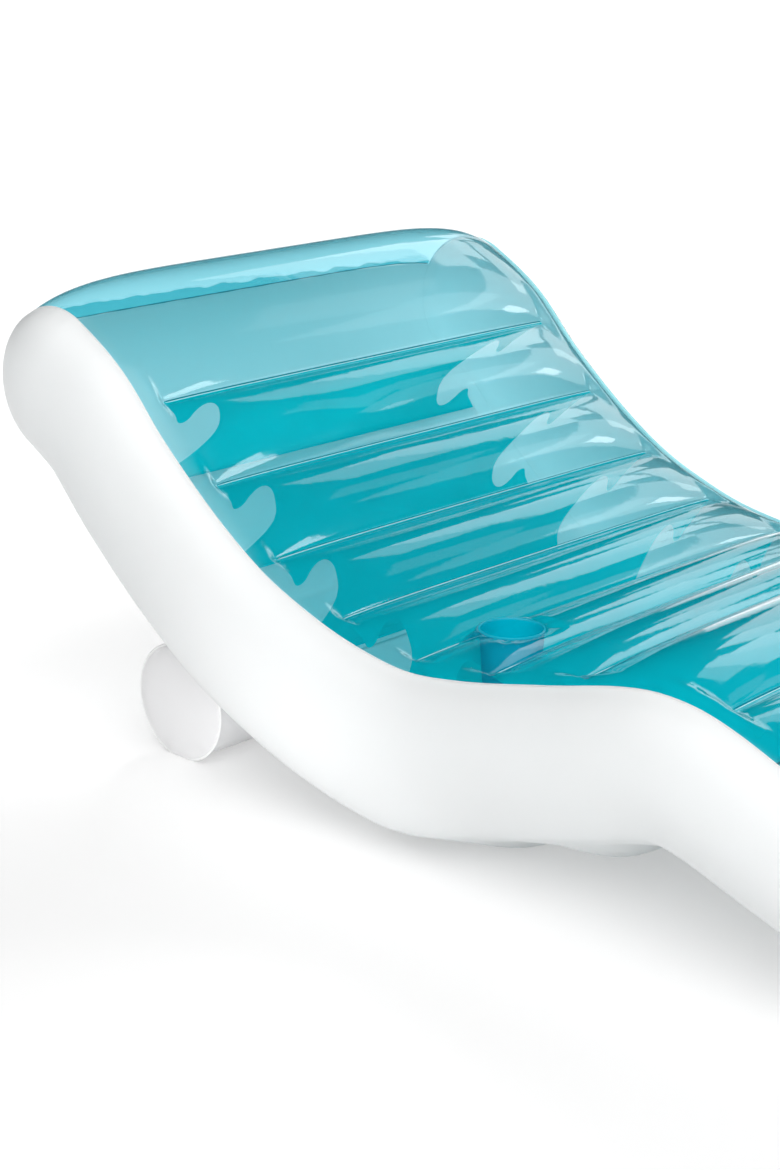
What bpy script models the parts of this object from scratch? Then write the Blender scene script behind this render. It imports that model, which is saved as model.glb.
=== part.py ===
# Inflatable pool chair: a wave-shaped lounger of welded vinyl film.
# Frame: +X to the far side, +Y to the head end, +Z up, origin on the ground under the middle.
# The side outline follows a spine line, with the deck half a body depth above it and the base
# half a body depth below. Cross webs weld deck and base together and make the air channels.

import math

import bmesh
import bpy
from mathutils import Matrix, Vector

# Overall sizes, inflated
LENGTH = 1.91
WIDTH = 0.99
HEIGHT = 0.66

# Body between its seams, with its depth as shares of the length, which is less past the seat
WALL_BULGE = 0.0537
HEAD_DEPTH_SHARE = 0.1152
FOOT_DEPTH_SHARE = 0.0974
THINNING_START_SHARE = 0.45
THINNING_END_SHARE = 0.85
REST_CLEARANCE = 0.025

# Spine, from the head's nose centre to the foot's: share of the way to the head, and share of the
# rise from a body that rests on the ground up to the head's nose centre
SPINE_SHARES = (
    (1.000, 1.000),
    (0.957, 0.881),
    (0.913, 0.683),
    (0.858, 0.472),
    (0.798, 0.286),
    (0.743, 0.166),
    (0.675, 0.065),
    (0.601, 0.013),
    (0.531, 0.040),
    (0.448, 0.130),
    (0.383, 0.217),
    (0.349, 0.239),
    (0.314, 0.213),
    (0.255, 0.128),
    (0.185, 0.038),
    (0.109, 0.003),
    (0.000, 0.000),
)

# Film, and the webs welded between deck and base: the first and the last web stand at shares of
# the spine's length from its two ends
FILM = 0.00045
GAP = 0.0003
WEB_FILM = 0.0004
WEB_COUNT = 10
FIRST_WEB_SHARE = 0.0787
LAST_WEB_SHARE = 0.1291
WELD_SEAM_MARGIN = 0.036
WELD_END_RUN = 0.015
WEB_FLANGE = 0.008
WEB_LEAN = math.radians(5)

# How far the film swells out between its welds, as shares of their pitch in the channels
HEAD_PUFF = 0.0345
TIP_PUFF = 0.018
FOOT_PUFF = 0.018
DECK_PUFF_SHARE = 0.1505
BASE_PUFF_SHARE = 0.276
PUFF_ROUND_SHARE = 0.75
SIDE_FALL_POWER_SHARE = 6
SIDE_FALL_ROUND_SHARE = 0.8

# C-shaped notch in each end of a web: share of its depth inward, share of half the web's height
NOTCH_DEPTH = 0.157
NOTCH_SHARES = (
    (0.00, 0.00),
    (0.12, 0.16),
    (0.25, 0.34),
    (0.34, 0.51),
    (0.39, 0.55),
    (0.44, 0.53),
    (0.47, 0.47),
    (0.49, 0.37),
    (0.54, 0.27),
    (0.61, 0.24),
    (0.70, 0.29),
    (0.81, 0.44),
    (0.91, 0.66),
    (0.975, 0.84),
    (1.00, 1.00),
)

# Cup holder moulding, in a channel by the near side
CUP_SEAM_MARGIN = 0.166
CUP_CHANNEL = 5
CUP_CHANNEL_SHARE = 0.41
CUP_RAISE = 0.020
CUP_MOUTH_RADIUS = 0.0415
CUP_FOOT_RADIUS = 0.0360
CUP_DEPTH = 0.090
CUP_WALL = 0.0012
CUP_CORNER = 0.006
CUP_FLANGE_RADIUS = 0.0485

# Roll that props the backrest, hung on a strip under the third web's base weld. Its radius is what
# fits between the ground and the base with a strip of this length.
STRIP_LENGTH = 0.0257
ROLL_SEAM_MARGIN = 0.020
ROLL_DOME = 0.008
ROLL_CLEARANCE = 0.006
ROLL_WEB = 3
STRIP_THICKNESS = 0.0009
STRIP_SEAT = 0.0012

# Air valves: a flanged stem through the film, a tethered plug and an inner flap
VALVE_FLANGE_RADIUS = 0.0165
VALVE_FLANGE_THICKNESS = 0.0012
VALVE_STEM_RADIUS = 0.0072
VALVE_BORE_RADIUS = 0.0050
VALVE_STEM_DEPTH = 0.016
VALVE_COLLAR_HEIGHT = 0.0030
VALVE_COLLAR_RADIUS = 0.0080
PLUG_HEAD_RADIUS = 0.0088
PLUG_HEAD_THICKNESS = 0.0022
PLUG_DEPTH = 0.0060
PLUG_TIP_RADIUS = 0.0032
PLUG_TAB_LENGTH = 0.0060
STRAP_WIDTH = 0.0050
STRAP_THICKNESS = 0.0010
STRAP_ROOT = 0.0140
STRAP_POST = 0.0018
FLAP_RADIUS = 0.0062
FLAP_THICKNESS = 0.0006
BODY_VALVE_SHARE = 0.272

# Steps round the curves
NOSE_STEPS = 3
HEAD_STEPS = 4
FOOT_STEPS = 3
CHANNEL_STEP_SHARES = (0.12, 0.37, 0.63, 0.88)
FILM_COLUMN_SHARE = 0.5
WALL_RINGS = 3
SPINE_STEPS = 12
ROLL_SIDES = 36
DOME_STEPS = 3
CUP_SIDES = 32
VALVE_SIDES = 20
ROLL_SEARCH_STEPS = 100
HALVINGS = 26
FLATNESS = 0.00001
CUTTER_OVERRUN = 0.025

# Lengths that follow
SEAM_X = WIDTH / 2 - WALL_BULGE - GAP
WELD_HALF_LENGTH = SEAM_X - WELD_SEAM_MARGIN
CUP_SIDE = CUP_SEAM_MARGIN - SEAM_X
BODY_VALVE_SIDE = SEAM_X * BODY_VALVE_SHARE
ROLL_HALF_LENGTH = SEAM_X - ROLL_SEAM_MARGIN
HEAD_DEPTH = LENGTH * HEAD_DEPTH_SHARE
FOOT_DEPTH = LENGTH * FOOT_DEPTH_SHARE
HEAD_Y = LENGTH / 2 - TIP_PUFF - HEAD_DEPTH / 2
HEAD_Z = HEIGHT - HEAD_PUFF - HEAD_DEPTH / 2
FOOT_Y = -LENGTH / 2 + FOOT_PUFF + FOOT_DEPTH / 2
ROLL_HALF_TUBE = ROLL_HALF_LENGTH - FILM - GAP
CUP_PAD = CUP_FLANGE_RADIUS + WELD_END_RUN
VALVE_TOP = VALVE_FLANGE_THICKNESS + VALVE_COLLAR_HEIGHT
PLUG_UNDERSIDE = VALVE_TOP + GAP
STRAP_LEVEL = PLUG_UNDERSIDE + PLUG_HEAD_THICKNESS / 2

# Turns a prism along Y, with its outline in X and Z, to one along X with its outline in Y and Z
ACROSS = Matrix.Rotation(math.pi / 2, 4, "Z")


def clear_scene():
    for item in list(bpy.data.objects):
        bpy.data.objects.remove(item, do_unlink=True)


def material(name, colour, roughness):
    made = bpy.data.materials.new(name)
    made.use_nodes = True
    shader = made.node_tree.nodes["Principled BSDF"]
    shader.inputs["Base Color"].default_value = (*colour, 1.0)
    shader.inputs["Roughness"].default_value = roughness
    shader.inputs["Metallic"].default_value = 0.0
    return made


def mesh_from(name, points, faces):
    mesh = bpy.data.meshes.new(name)
    mesh.from_pydata([tuple(p) for p in points], [], faces)
    shape = bmesh.new()
    shape.from_mesh(mesh)
    bmesh.ops.recalc_face_normals(shape, faces=shape.faces)
    shape.to_mesh(mesh)
    shape.free()
    return mesh


def add_object(name, mesh, finish, place=None, smooth_angle=math.radians(30)):
    mesh.materials.append(finish)
    mesh.shade_smooth()
    mesh.set_sharp_from_angle(angle=smooth_angle)
    made = bpy.data.objects.new(name, mesh)
    bpy.context.scene.collection.objects.link(made)
    if place is not None:
        made.matrix_world = place
    return made


def add_tool(target, name, mesh, place, operation):
    """Cuts a mesh from the target, or joins it on, by a modifier with a hidden helper object."""
    helper = bpy.data.objects.new(name, mesh)
    bpy.context.scene.collection.objects.link(helper)
    helper.matrix_world = place
    helper.hide_render = True
    helper.display_type = "WIRE"
    tool = target.modifiers.new(name, "BOOLEAN")
    tool.operation = operation
    tool.object = helper


def prism_mesh(name, outline, low, high):
    """A closed prism from an outline in X and Z, between two places along Y."""
    size = len(outline)
    points = [(x, y, z) for y in (low, high) for x, z in outline]
    faces = [tuple(range(size)), tuple(range(2 * size - 1, size - 1, -1))]
    for a in range(size):
        b = (a + 1) % size
        faces.append((b, a, size + a, size + b))
    return mesh_from(name, points, faces)


def turned_mesh(name, profile, sides, turn=0.0):
    """A closed solid turned about Z. Its outline starts and ends on the axis, or is a closed loop."""
    points = []
    rings = []
    for radius, z in profile:
        steps = 1 if radius == 0 else sides
        rings.append(range(len(points), len(points) + steps))
        for step in range(steps):
            angle = turn + 2 * math.pi * step / sides
            points.append((radius * math.cos(angle), radius * math.sin(angle), z))
    pairs = list(zip(rings, rings[1:]))
    if len(rings[0]) > 1:
        pairs.append((rings[-1], rings[0]))
    faces = []
    for low, high in pairs:
        for step in range(sides):
            after = (step + 1) % sides
            if len(low) == 1:
                faces.append((low[0], high[step], high[after]))
            elif len(high) == 1:
                faces.append((low[step], low[after], high[0]))
            else:
                faces.append((low[step], low[after], high[after], high[step]))
    return mesh_from(name, points, faces)


# Side outline, as (Y, Z) points

def depth_at(y):
    """Body depth between deck and base seams, by the way from the head to the foot."""
    way = (HEAD_Y - y) / (HEAD_Y - FOOT_Y)
    share = (way - THINNING_START_SHARE) / (THINNING_END_SHARE - THINNING_START_SHARE)
    share = min(max(share, 0), 1)
    return HEAD_DEPTH + (FOOT_DEPTH - HEAD_DEPTH) * share ** 2 * (3 - 2 * share)


def spine_corner(index):
    along, rise = SPINE_SHARES[min(max(index, 0), len(SPINE_SHARES) - 1)]
    y = FOOT_Y + along * (HEAD_Y - FOOT_Y)
    low = REST_CLEARANCE + depth_at(y) / 2
    return Vector((y, low + rise * (HEAD_Z - low)))


def spine_point(index, t):
    """Point on the smooth line through the spine's corners, t from 0 to 1 after one corner."""
    weights = (
        (-t + 2 * t ** 2 - t ** 3) / 2,
        (2 - 5 * t ** 2 + 3 * t ** 3) / 2,
        (t + 4 * t ** 2 - 3 * t ** 3) / 2,
        (-t ** 2 + t ** 3) / 2,
    )
    return sum((w * spine_corner(index + k - 1) for k, w in enumerate(weights)), Vector((0, 0)))


def make_spine():
    line = []
    for index in range(len(SPINE_SHARES) - 1):
        line += [spine_point(index, step / SPINE_STEPS) for step in range(SPINE_STEPS)]
    line.append(spine_corner(len(SPINE_SHARES) - 1))
    lengths = [0.0]
    for a, b in zip(line, line[1:]):
        lengths.append(lengths[-1] + (b - a).length)
    return line, lengths


SPINE, SPINE_LENGTHS = make_spine()
SPINE_LENGTH = SPINE_LENGTHS[-1]
FIRST_WEB = SPINE_LENGTH * FIRST_WEB_SHARE
WEB_PITCH = (SPINE_LENGTH * (1 - LAST_WEB_SHARE) - FIRST_WEB) / (WEB_COUNT - 1)
WEBS = [FIRST_WEB + WEB_PITCH * index for index in range(WEB_COUNT)]
DECK_PUFF = WEB_PITCH * DECK_PUFF_SHARE
BASE_PUFF = WEB_PITCH * BASE_PUFF_SHARE


def on_spine(s):
    """Centre, unit direction towards the foot and unit normal towards the deck at length s."""
    s = min(max(s, 0), SPINE_LENGTH)
    index = 0
    while index < len(SPINE) - 2 and SPINE_LENGTHS[index + 1] < s:
        index += 1
    span = SPINE_LENGTHS[index + 1] - SPINE_LENGTHS[index]
    centre = SPINE[index].lerp(SPINE[index + 1], (s - SPINE_LENGTHS[index]) / span)
    before = SPINE[max(index - 3, 0)]
    after = SPINE[min(index + 4, len(SPINE) - 1)]
    direction = (after - before).normalized()
    return centre, direction, Vector((direction.y, -direction.x))


class Row:
    """One line across the body: where it crosses the side outline and how far the film swells."""

    def __init__(self, point, normal, swell, s, welded=False):
        self.point = point
        self.normal = normal
        self.swell = swell
        self.s = s
        self.welded = welded


def body_row(s, side, swell=0.0, welded=False):
    centre, direction, normal = on_spine(s)
    out = normal * side
    return Row(centre + out * depth_at(centre.x) / 2, out, swell, s, welded)


def nose_row(s, forward, side, angle, swell):
    """A row on the round nose, at an angle up from its tip towards the deck or the base."""
    centre, direction, normal = on_spine(s)
    out = direction * forward * math.cos(angle) + normal * side * math.sin(angle)
    return Row(centre + out * depth_at(centre.x) / 2, out, swell, s)


def weld_s(index, side):
    """Where a web meets the deck, side 1, or the base, side -1, since the webs lean."""
    centre = on_spine(WEBS[index])[0]
    return WEBS[index] - side * math.tan(WEB_LEAN) * depth_at(centre.x) / 2


def end_swell(share, tip, crown):
    """Swell from the nose's tip, share 0, to the nearest weld, share 1."""
    if share < 1 / 2:
        return tip + (crown - tip) * math.sin(math.pi * share)
    return crown * max(1 - (2 * share - 1) ** 2, 0) ** PUFF_ROUND_SHARE


def nose_rows(s, forward, side, run, tip, crown):
    """Rows from a nose's tip to its shoulder, with the run that follows up to the first weld."""
    arc = depth_at(on_spine(s)[0].x) / 2 * math.pi / 2
    rows = []
    for step in range(NOSE_STEPS):
        share = step / NOSE_STEPS
        swell = end_swell(share * arc / (arc + run), tip, crown)
        rows.append(nose_row(s, forward, side, math.pi / 2 * share, swell))
    return rows, arc


def rows_of(side, channel_puff, head_puff, foot_puff):
    """Rows from the head's tip to the foot's along the deck, side 1, or the base, side -1."""
    first = weld_s(0, side)
    last = weld_s(WEB_COUNT - 1, side)
    rows, arc = nose_rows(0, -1, side, first, TIP_PUFF, head_puff)
    for step in range(HEAD_STEPS):
        s = first * step / HEAD_STEPS
        rows.append(body_row(s, side, end_swell((arc + s) / (arc + first), TIP_PUFF, head_puff)))
    for index in range(WEB_COUNT - 1):
        start = weld_s(index, side)
        rows.append(body_row(start, side, channel_puff, True))
        for share in CHANNEL_STEP_SHARES:
            swell = channel_puff * math.sin(math.pi * share) ** PUFF_ROUND_SHARE
            rows.append(body_row(start + (weld_s(index + 1, side) - start) * share, side, swell))
    rows.append(body_row(last, side, channel_puff, True))
    run = SPINE_LENGTH - last
    end_rows, arc = nose_rows(SPINE_LENGTH, 1, side, run, FOOT_PUFF, foot_puff)
    for step in range(1, FOOT_STEPS + 1):
        s = run * step / FOOT_STEPS
        swell = end_swell((arc + run - s) / (arc + run), FOOT_PUFF, foot_puff)
        rows.append(body_row(last + s, side, swell))
    return rows + end_rows[::-1]


# How far the film stands off the side outline

def swell_at(row, x):
    if row.welded and abs(x) <= WELD_HALF_LENGTH:
        return 0.0
    share = min(abs(x) / SEAM_X, 1)
    return row.swell * (1 - share ** SIDE_FALL_POWER_SHARE) ** SIDE_FALL_ROUND_SHARE


def cup_place():
    """Centre of the mouth on the deck, and the flat pad's level."""
    start = weld_s(CUP_CHANNEL - 1, 1)
    span = weld_s(CUP_CHANNEL, 1) - start
    level = body_row(start + span / 2, 1).point.y + CUP_RAISE
    return Vector((CUP_SIDE, body_row(start + span * CUP_CHANNEL_SHARE, 1).point.x, level))


CUP_CENTRE = cup_place()


def deck_height(row, x):
    in_channel = weld_s(CUP_CHANNEL - 1, 1) + GAP < row.s < weld_s(CUP_CHANNEL, 1) - GAP
    if in_channel and abs(x - CUP_SIDE) <= CUP_PAD + GAP:
        return (CUP_CENTRE.z - row.point.y) / row.normal.y
    return swell_at(row, x)


def base_outline():
    """Side outline of the base from the first web to the one after the roll's."""
    run = WEBS[ROLL_WEB] - WEBS[0]
    count = ROLL_SEARCH_STEPS
    return [body_row(WEBS[0] + run * step / count, -1).point for step in range(count + 1)]


def roll_centre(radius, outline):
    """A roll stands on the ground with its least clearance to the base, on the head side."""
    z = radius * math.cos(math.pi / ROLL_SIDES)
    far, near = LENGTH / 2, 0.0
    for step in range(HALVINGS):
        middle = Vector(((far + near) / 2, z))
        clear = min((p - middle).length for p in outline) > radius + ROLL_CLEARANCE
        far, near = (middle.x, near) if clear else (far, middle.x)
    return Vector((far, z))


def roll_fit():
    """Radius and centre of the roll that the strip just reaches from its weld."""
    outline = base_outline()
    weld = body_row(weld_s(ROLL_WEB - 1, -1), -1).point
    small, large = 0.0, HEAD_DEPTH
    for step in range(HALVINGS):
        radius = (small + large) / 2
        centre = roll_centre(radius, outline)
        past = centre.x > weld.x and (centre - weld).length - radius > STRIP_LENGTH
        small, large = (small, radius) if past else (radius, large)
    return large, roll_centre(large, outline)


ROLL_RADIUS, ROLL_CENTRE = roll_fit()


def base_height(row, x):
    """Swell of the base, stopped by the roll and cut flat by the ground."""
    swell = swell_at(row, x)
    to_row = row.point - ROLL_CENTRE
    inward = -to_row.dot(row.normal)
    clear = ROLL_RADIUS + ROLL_CLEARANCE
    reach = inward ** 2 - to_row.length_squared + clear ** 2
    if inward > 0 and reach > 0:
        swell = min(swell, max(inward - math.sqrt(reach), 0))
    if row.normal.y < 0:
        swell = min(swell, row.point.y / -row.normal.y)
    return swell


# Film panels

def film_columns():
    side = [WELD_HALF_LENGTH, WELD_HALF_LENGTH + WELD_END_RUN, SEAM_X]
    middle = [CUP_SIDE - CUP_PAD, CUP_SIDE + CUP_PAD, 0.0, SEAM_X * FILM_COLUMN_SHARE]
    return sorted([-x for x in side] + middle + side)


def cell_faces(points, corners):
    """One face where its corners are level, else two, split alike on both skins of the film."""
    a, b, c, d = (Vector(points[index]) for index in corners)
    lift = (b - a).cross(c - a).normalized().dot(d - a)
    if abs(lift) < FLATNESS:
        return [corners]
    return [corners[:3], (corners[0],) + corners[2:]]


def film_panel(name, rows, height_at, finish):
    """A closed thin sheet: outer face, inner face one film below it, and the edge round both."""
    columns = film_columns()
    wide = len(columns)
    points = []
    for skin in (0.0, FILM):
        for index, row in enumerate(rows):
            inset = edge_inset(rows, index)
            for x in columns:
                place = row.point + inset + row.normal * (height_at(row, x) - skin)
                points.append((x, place.x, place.y))
    shift = len(rows) * wide
    faces = []
    for i in range(len(rows) - 1):
        for j in range(wide - 1):
            for start in (0, shift):
                a, b = start + i * wide + j, start + i * wide + j + 1
                faces += cell_faces(points, (a, b, b + wide, a + wide))
    last = (len(rows) - 1) * wide
    loop = list(range(wide)) + [i * wide + wide - 1 for i in range(1, len(rows))]
    loop += [last + j for j in range(wide - 2, -1, -1)]
    loop += [i * wide for i in range(len(rows) - 2, 0, -1)]
    for a, b in zip(loop, loop[1:] + loop[:1]):
        faces.append((b, a, shift + a, shift + b))
    return add_object(name, mesh_from(name, points, faces), finish)


def edge_inset(rows, index):
    """Draws the two nose edges back half a gap, so that deck and base only just miss each other."""
    if index == 0:
        return (rows[1].point - rows[0].point).normalized() * GAP / 2
    if index == len(rows) - 1:
        return (rows[-2].point - rows[-1].point).normalized() * GAP / 2
    return Vector((0, 0))


def side_wall(name, deck_rows, base_rows, hand, finish):
    """A swelling side panel: rings that shrink from the seam onto the spine."""
    crest = [on_spine((a.s + b.s) / 2)[0] for a, b in zip(deck_rows, base_rows)]
    crest = crest[NOSE_STEPS:-NOSE_STEPS]
    outline = [(row.point, index) for index, row in enumerate(deck_rows)]
    outline += [(row.point, index) for index, row in enumerate(base_rows)][-2:0:-1]
    outline = [(p, min(max(i - NOSE_STEPS, 0), len(crest) - 1)) for p, i in outline]
    count = len(outline)
    points = []
    for skin in (0.0, FILM):
        for ring in range(WALL_RINGS):
            angle = math.pi / 2 * ring / WALL_RINGS
            x = hand * (SEAM_X + GAP + (WALL_BULGE - skin) * math.sin(angle))
            for edge, index in outline:
                reach = edge - crest[index]
                place = crest[index] + reach * math.cos(angle) * (1 - skin / reach.length)
                points.append((x, place.x, place.y))
        x = hand * (SEAM_X + GAP + WALL_BULGE - skin)
        points += [(x, centre.x, centre.y) for centre in crest]
    shift = count * WALL_RINGS + len(crest)
    faces = []
    for start in (0, shift):
        top = start + WALL_RINGS * count
        for a in range(count):
            b = (a + 1) % count
            for low in range(start, top - count, count):
                faces += cell_faces(points, (low + a, low + b, low + count + b, low + count + a))
            m, n = top + outline[a][1], top + outline[b][1]
            edge = (top - count + a, top - count + b)
            faces += [edge + (n,)] if m == n else cell_faces(points, edge + (n, m))
    for a in range(count):
        b = (a + 1) % count
        faces.append((a, b, shift + b, shift + a))
    return add_object(name, mesh_from(name, points, faces), finish)


# Webs

def web(index, finish):
    """An I-section sheet, welded along both flanges, with a C-shaped notch in each end."""
    name = f"diaphragm_{index + 1:02d}"
    ends = [body_row(weld_s(index, side), side) for side in (1, -1)]
    up = (ends[0].point - ends[1].point).normalized()
    thin = Vector((up.y, -up.x)) * WEB_FILM / 2
    section = []
    for side, row in zip((1, -1), ends):
        along = Vector((row.normal.y, -row.normal.x)) * WEB_FLANGE / 2
        outer = row.point - row.normal * (FILM + GAP)
        inner = outer - row.normal * WEB_FILM
        section += [inner - thin * side, inner - along, outer - along]
        section += [outer + along, inner + along, inner + thin * side]
    mesh = prism_mesh(name, section, -WELD_HALF_LENGTH, WELD_HALF_LENGTH)
    made = add_object(name, mesh, finish, ACROSS)
    middle = (ends[0].point + ends[1].point) / 2
    half = (ends[0].point - ends[1].point).length / 2 - FILM - GAP - WEB_FILM
    add_tool(made, name + "_notch", notch_mesh(name, half), web_frame(middle, up), "DIFFERENCE")
    return made


def web_frame(middle, up):
    """Frame with X across the chair, Z up along the web and Y through its film."""
    return Matrix((
        (1, 0, 0, 0),
        (0, up.y, up.x, middle.x),
        (0, -up.x, up.y, middle.y),
        (0, 0, 0, 1),
    ))


def notch_mesh(name, half):
    """Both ends' waste: from the notch outline out past the web's end."""
    far = WELD_HALF_LENGTH + CUTTER_OVERRUN
    upper = [(WELD_HALF_LENGTH - NOTCH_DEPTH * u, half * (1 - v)) for u, v in NOTCH_SHARES]
    outline = [(far, half)] + upper + [(x, -z) for x, z in upper[-2::-1]] + [(far, -half)]
    points = []
    faces = []
    for hand in (-1, 1):
        one = [(hand * x, z) for x, z in outline]
        made = prism_mesh(name, one, -WEB_FLANGE, WEB_FLANGE)
        start = len(points)
        points += [v.co.copy() for v in made.vertices]
        faces += [tuple(start + v for v in p.vertices) for p in made.polygons]
        bpy.data.meshes.remove(made)
    return mesh_from(name + "_notch", points, faces)


# Cup holder

def cup_holder(deck, finish):
    lip = CUP_WALL / 2
    floor_radius = CUP_FOOT_RADIUS - CUP_CORNER
    outline = [
        (0.0, -CUP_DEPTH - CUP_WALL),
        (floor_radius, -CUP_DEPTH - CUP_WALL),
        (CUP_FOOT_RADIUS, -CUP_DEPTH + CUP_CORNER / 2),
        (CUP_FOOT_RADIUS + CUP_WALL, -CUP_DEPTH + CUP_CORNER),
        (CUP_MOUTH_RADIUS + CUP_WALL, 0.0),
        (CUP_FLANGE_RADIUS - lip, 0.0),
        (CUP_FLANGE_RADIUS, lip),
        (CUP_FLANGE_RADIUS - lip, CUP_WALL),
        (CUP_MOUTH_RADIUS + lip, CUP_WALL),
        (CUP_MOUTH_RADIUS, lip),
        (CUP_FOOT_RADIUS, -CUP_DEPTH + CUP_CORNER),
        (floor_radius, -CUP_DEPTH),
        (0.0, -CUP_DEPTH),
    ]
    mesh = turned_mesh("cup_holder", outline, CUP_SIDES)
    add_object("cup_holder", mesh, finish, Matrix.Translation(CUP_CENTRE + Vector((0, 0, GAP))))
    hole = disc_mesh("cup_hole", CUP_MOUTH_RADIUS + CUP_WALL + GAP, CUP_SIDES)
    add_tool(deck, "cup_hole", hole, Matrix.Translation(CUP_CENTRE), "DIFFERENCE")


def disc_mesh(name, radius, sides):
    """A cutter for a round hole, long enough to pass through the film."""
    rise = CUTTER_OVERRUN
    return turned_mesh(name, [(0.0, -rise), (radius, -rise), (radius, rise), (0.0, rise)], sides)


# Roll

def roll(finish):
    """Tube, the strip that hangs it on the base and two domed end discs, the far one given back."""
    flat_down = math.pi / ROLL_SIDES
    place = Matrix.Translation((0, *ROLL_CENTRE)) @ Matrix.Rotation(math.pi / 2, 4, "Y")
    inner = ROLL_RADIUS - FILM
    tube = [(inner, -ROLL_HALF_TUBE), (ROLL_RADIUS, -ROLL_HALF_TUBE)]
    tube += [(ROLL_RADIUS, ROLL_HALF_TUBE), (inner, ROLL_HALF_TUBE)]
    add_object("roll_tube", turned_mesh("roll_tube", tube, ROLL_SIDES, flat_down), finish, place)
    for name, hand in (("roll_end_near", -1), ("roll_end_far", 1)):
        angles = [math.pi / 2 * step / DOME_STEPS for step in range(DOME_STEPS + 1)]
        dome = [(ROLL_RADIUS * math.sin(a), ROLL_DOME * math.cos(a)) for a in angles]
        outside = [(r, ROLL_HALF_LENGTH + z) for r, z in dome]
        outline = outside + [(r, z - FILM) for r, z in outside[::-1]]
        mesh = turned_mesh(name, outline, ROLL_SIDES, flat_down)
        face = place if hand > 0 else place @ Matrix.Rotation(math.pi, 4, "X")
        disc = add_object(name, mesh, finish, face)
    roll_strip(finish)
    return disc


def roll_strip(finish):
    """A folded film tab from the base weld's valley down to the roll."""
    row = body_row(weld_s(ROLL_WEB - 1, -1), -1)
    down = (ROLL_CENTRE - row.point).normalized()
    side = Vector((down.y, -down.x)) * STRIP_THICKNESS / 2
    top = row.point + down * STRIP_SEAT
    bottom = ROLL_CENTRE - down * (ROLL_RADIUS + GAP)
    outline = [top - side, top + side, bottom + side, bottom - side]
    mesh = prism_mesh("roll_weld_strip", outline, -WELD_HALF_LENGTH, WELD_HALF_LENGTH)
    return add_object("roll_weld_strip", mesh, finish, ACROSS)


# Air valves

def valve(prefix, place, panel, finish):
    """Stem, plug and flap on one axis. The frame's Z leaves the air chamber, X runs to the strap."""
    stem_outline = [
        (VALVE_BORE_RADIUS, -VALVE_STEM_DEPTH),
        (VALVE_STEM_RADIUS, -VALVE_STEM_DEPTH),
        (VALVE_STEM_RADIUS, 0.0),
        (VALVE_FLANGE_RADIUS, 0.0),
        (VALVE_FLANGE_RADIUS, VALVE_FLANGE_THICKNESS / 2),
        (VALVE_FLANGE_RADIUS - VALVE_FLANGE_THICKNESS / 2, VALVE_FLANGE_THICKNESS),
        (VALVE_COLLAR_RADIUS, VALVE_FLANGE_THICKNESS),
        (VALVE_COLLAR_RADIUS, VALVE_TOP),
        (VALVE_BORE_RADIUS, VALVE_TOP),
    ]
    mesh = turned_mesh(prefix + "_stem", stem_outline, VALVE_SIDES)
    stem = add_object(prefix + "_valve_stem", mesh, finish, place)
    low, high = VALVE_FLANGE_THICKNESS / 2, STRAP_LEVEL - STRAP_THICKNESS / 2 - GAP
    near, far = STRAP_ROOT - STRAP_POST / 2, STRAP_ROOT + STRAP_POST / 2
    post = [(near, low), (far, low), (far, high), (near, high)]
    half = STRAP_WIDTH / 2
    add_tool(stem, prefix + "_post", prism_mesh(prefix + "_post", post, -half, half), place, "UNION")
    plug(prefix, place, finish)
    flap_outline = [(0.0, -FLAP_THICKNESS), (FLAP_RADIUS, -FLAP_THICKNESS), (FLAP_RADIUS, 0.0), (0.0, 0.0)]
    mesh = turned_mesh(prefix + "_flap", flap_outline, VALVE_SIDES)
    mesh.transform(Matrix.Translation((-FLAP_RADIUS, 0, 0)))
    hinge = place @ Matrix.Translation((FLAP_RADIUS, 0, -VALVE_STEM_DEPTH - GAP))
    add_object(prefix + "_valve_flap", mesh, finish, hinge)
    hole = disc_mesh(prefix + "_hole", VALVE_STEM_RADIUS + GAP, VALVE_SIDES)
    add_tool(panel, prefix + "_valve_hole", hole, place, "DIFFERENCE")
    for label, frame in (("plug", place @ Matrix.Translation((STRAP_ROOT, 0, STRAP_LEVEL))), ("flap", hinge)):
        print(prefix, label, "hinge at", frame.translation, "axis", frame.col[1].xyz)


def plug(prefix, place, finish):
    """Tapered stopper, head with a pull tab and the strap out to its root, about the root."""
    name = prefix + "_valve_plug"
    under = PLUG_UNDERSIDE - STRAP_LEVEL
    outline = [
        (0.0, under - PLUG_DEPTH),
        (PLUG_TIP_RADIUS, under - PLUG_DEPTH),
        (VALVE_BORE_RADIUS - GAP, under),
        (PLUG_HEAD_RADIUS, under),
        (PLUG_HEAD_RADIUS, under + PLUG_HEAD_THICKNESS / 2),
        (PLUG_HEAD_RADIUS - PLUG_HEAD_THICKNESS / 4, under + PLUG_HEAD_THICKNESS),
        (0.0, under + PLUG_HEAD_THICKNESS),
    ]
    stopper = turned_mesh(name, outline, VALVE_SIDES)
    stopper.transform(Matrix.Translation((-STRAP_ROOT, 0, 0)))
    hinge = place @ Matrix.Translation((STRAP_ROOT, 0, STRAP_LEVEL))
    made = add_object(name, stopper, finish, hinge)
    thin = STRAP_THICKNESS / 2
    half = STRAP_WIDTH / 2
    inner = PLUG_HEAD_RADIUS / 2
    strap = [(inner - STRAP_ROOT, -thin), (thin, -thin), (thin, thin), (inner - STRAP_ROOT, thin)]
    out = -STRAP_ROOT - PLUG_HEAD_RADIUS - PLUG_TAB_LENGTH
    tab = [(out, -thin), (-STRAP_ROOT - inner, -thin), (-STRAP_ROOT - inner, thin), (out, thin)]
    for label, shape in (("strap", strap), ("tab", tab)):
        mesh = prism_mesh(name + label, shape, -half, half)
        add_tool(made, f"{name}_{label}", mesh, hinge, "UNION")


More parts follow.
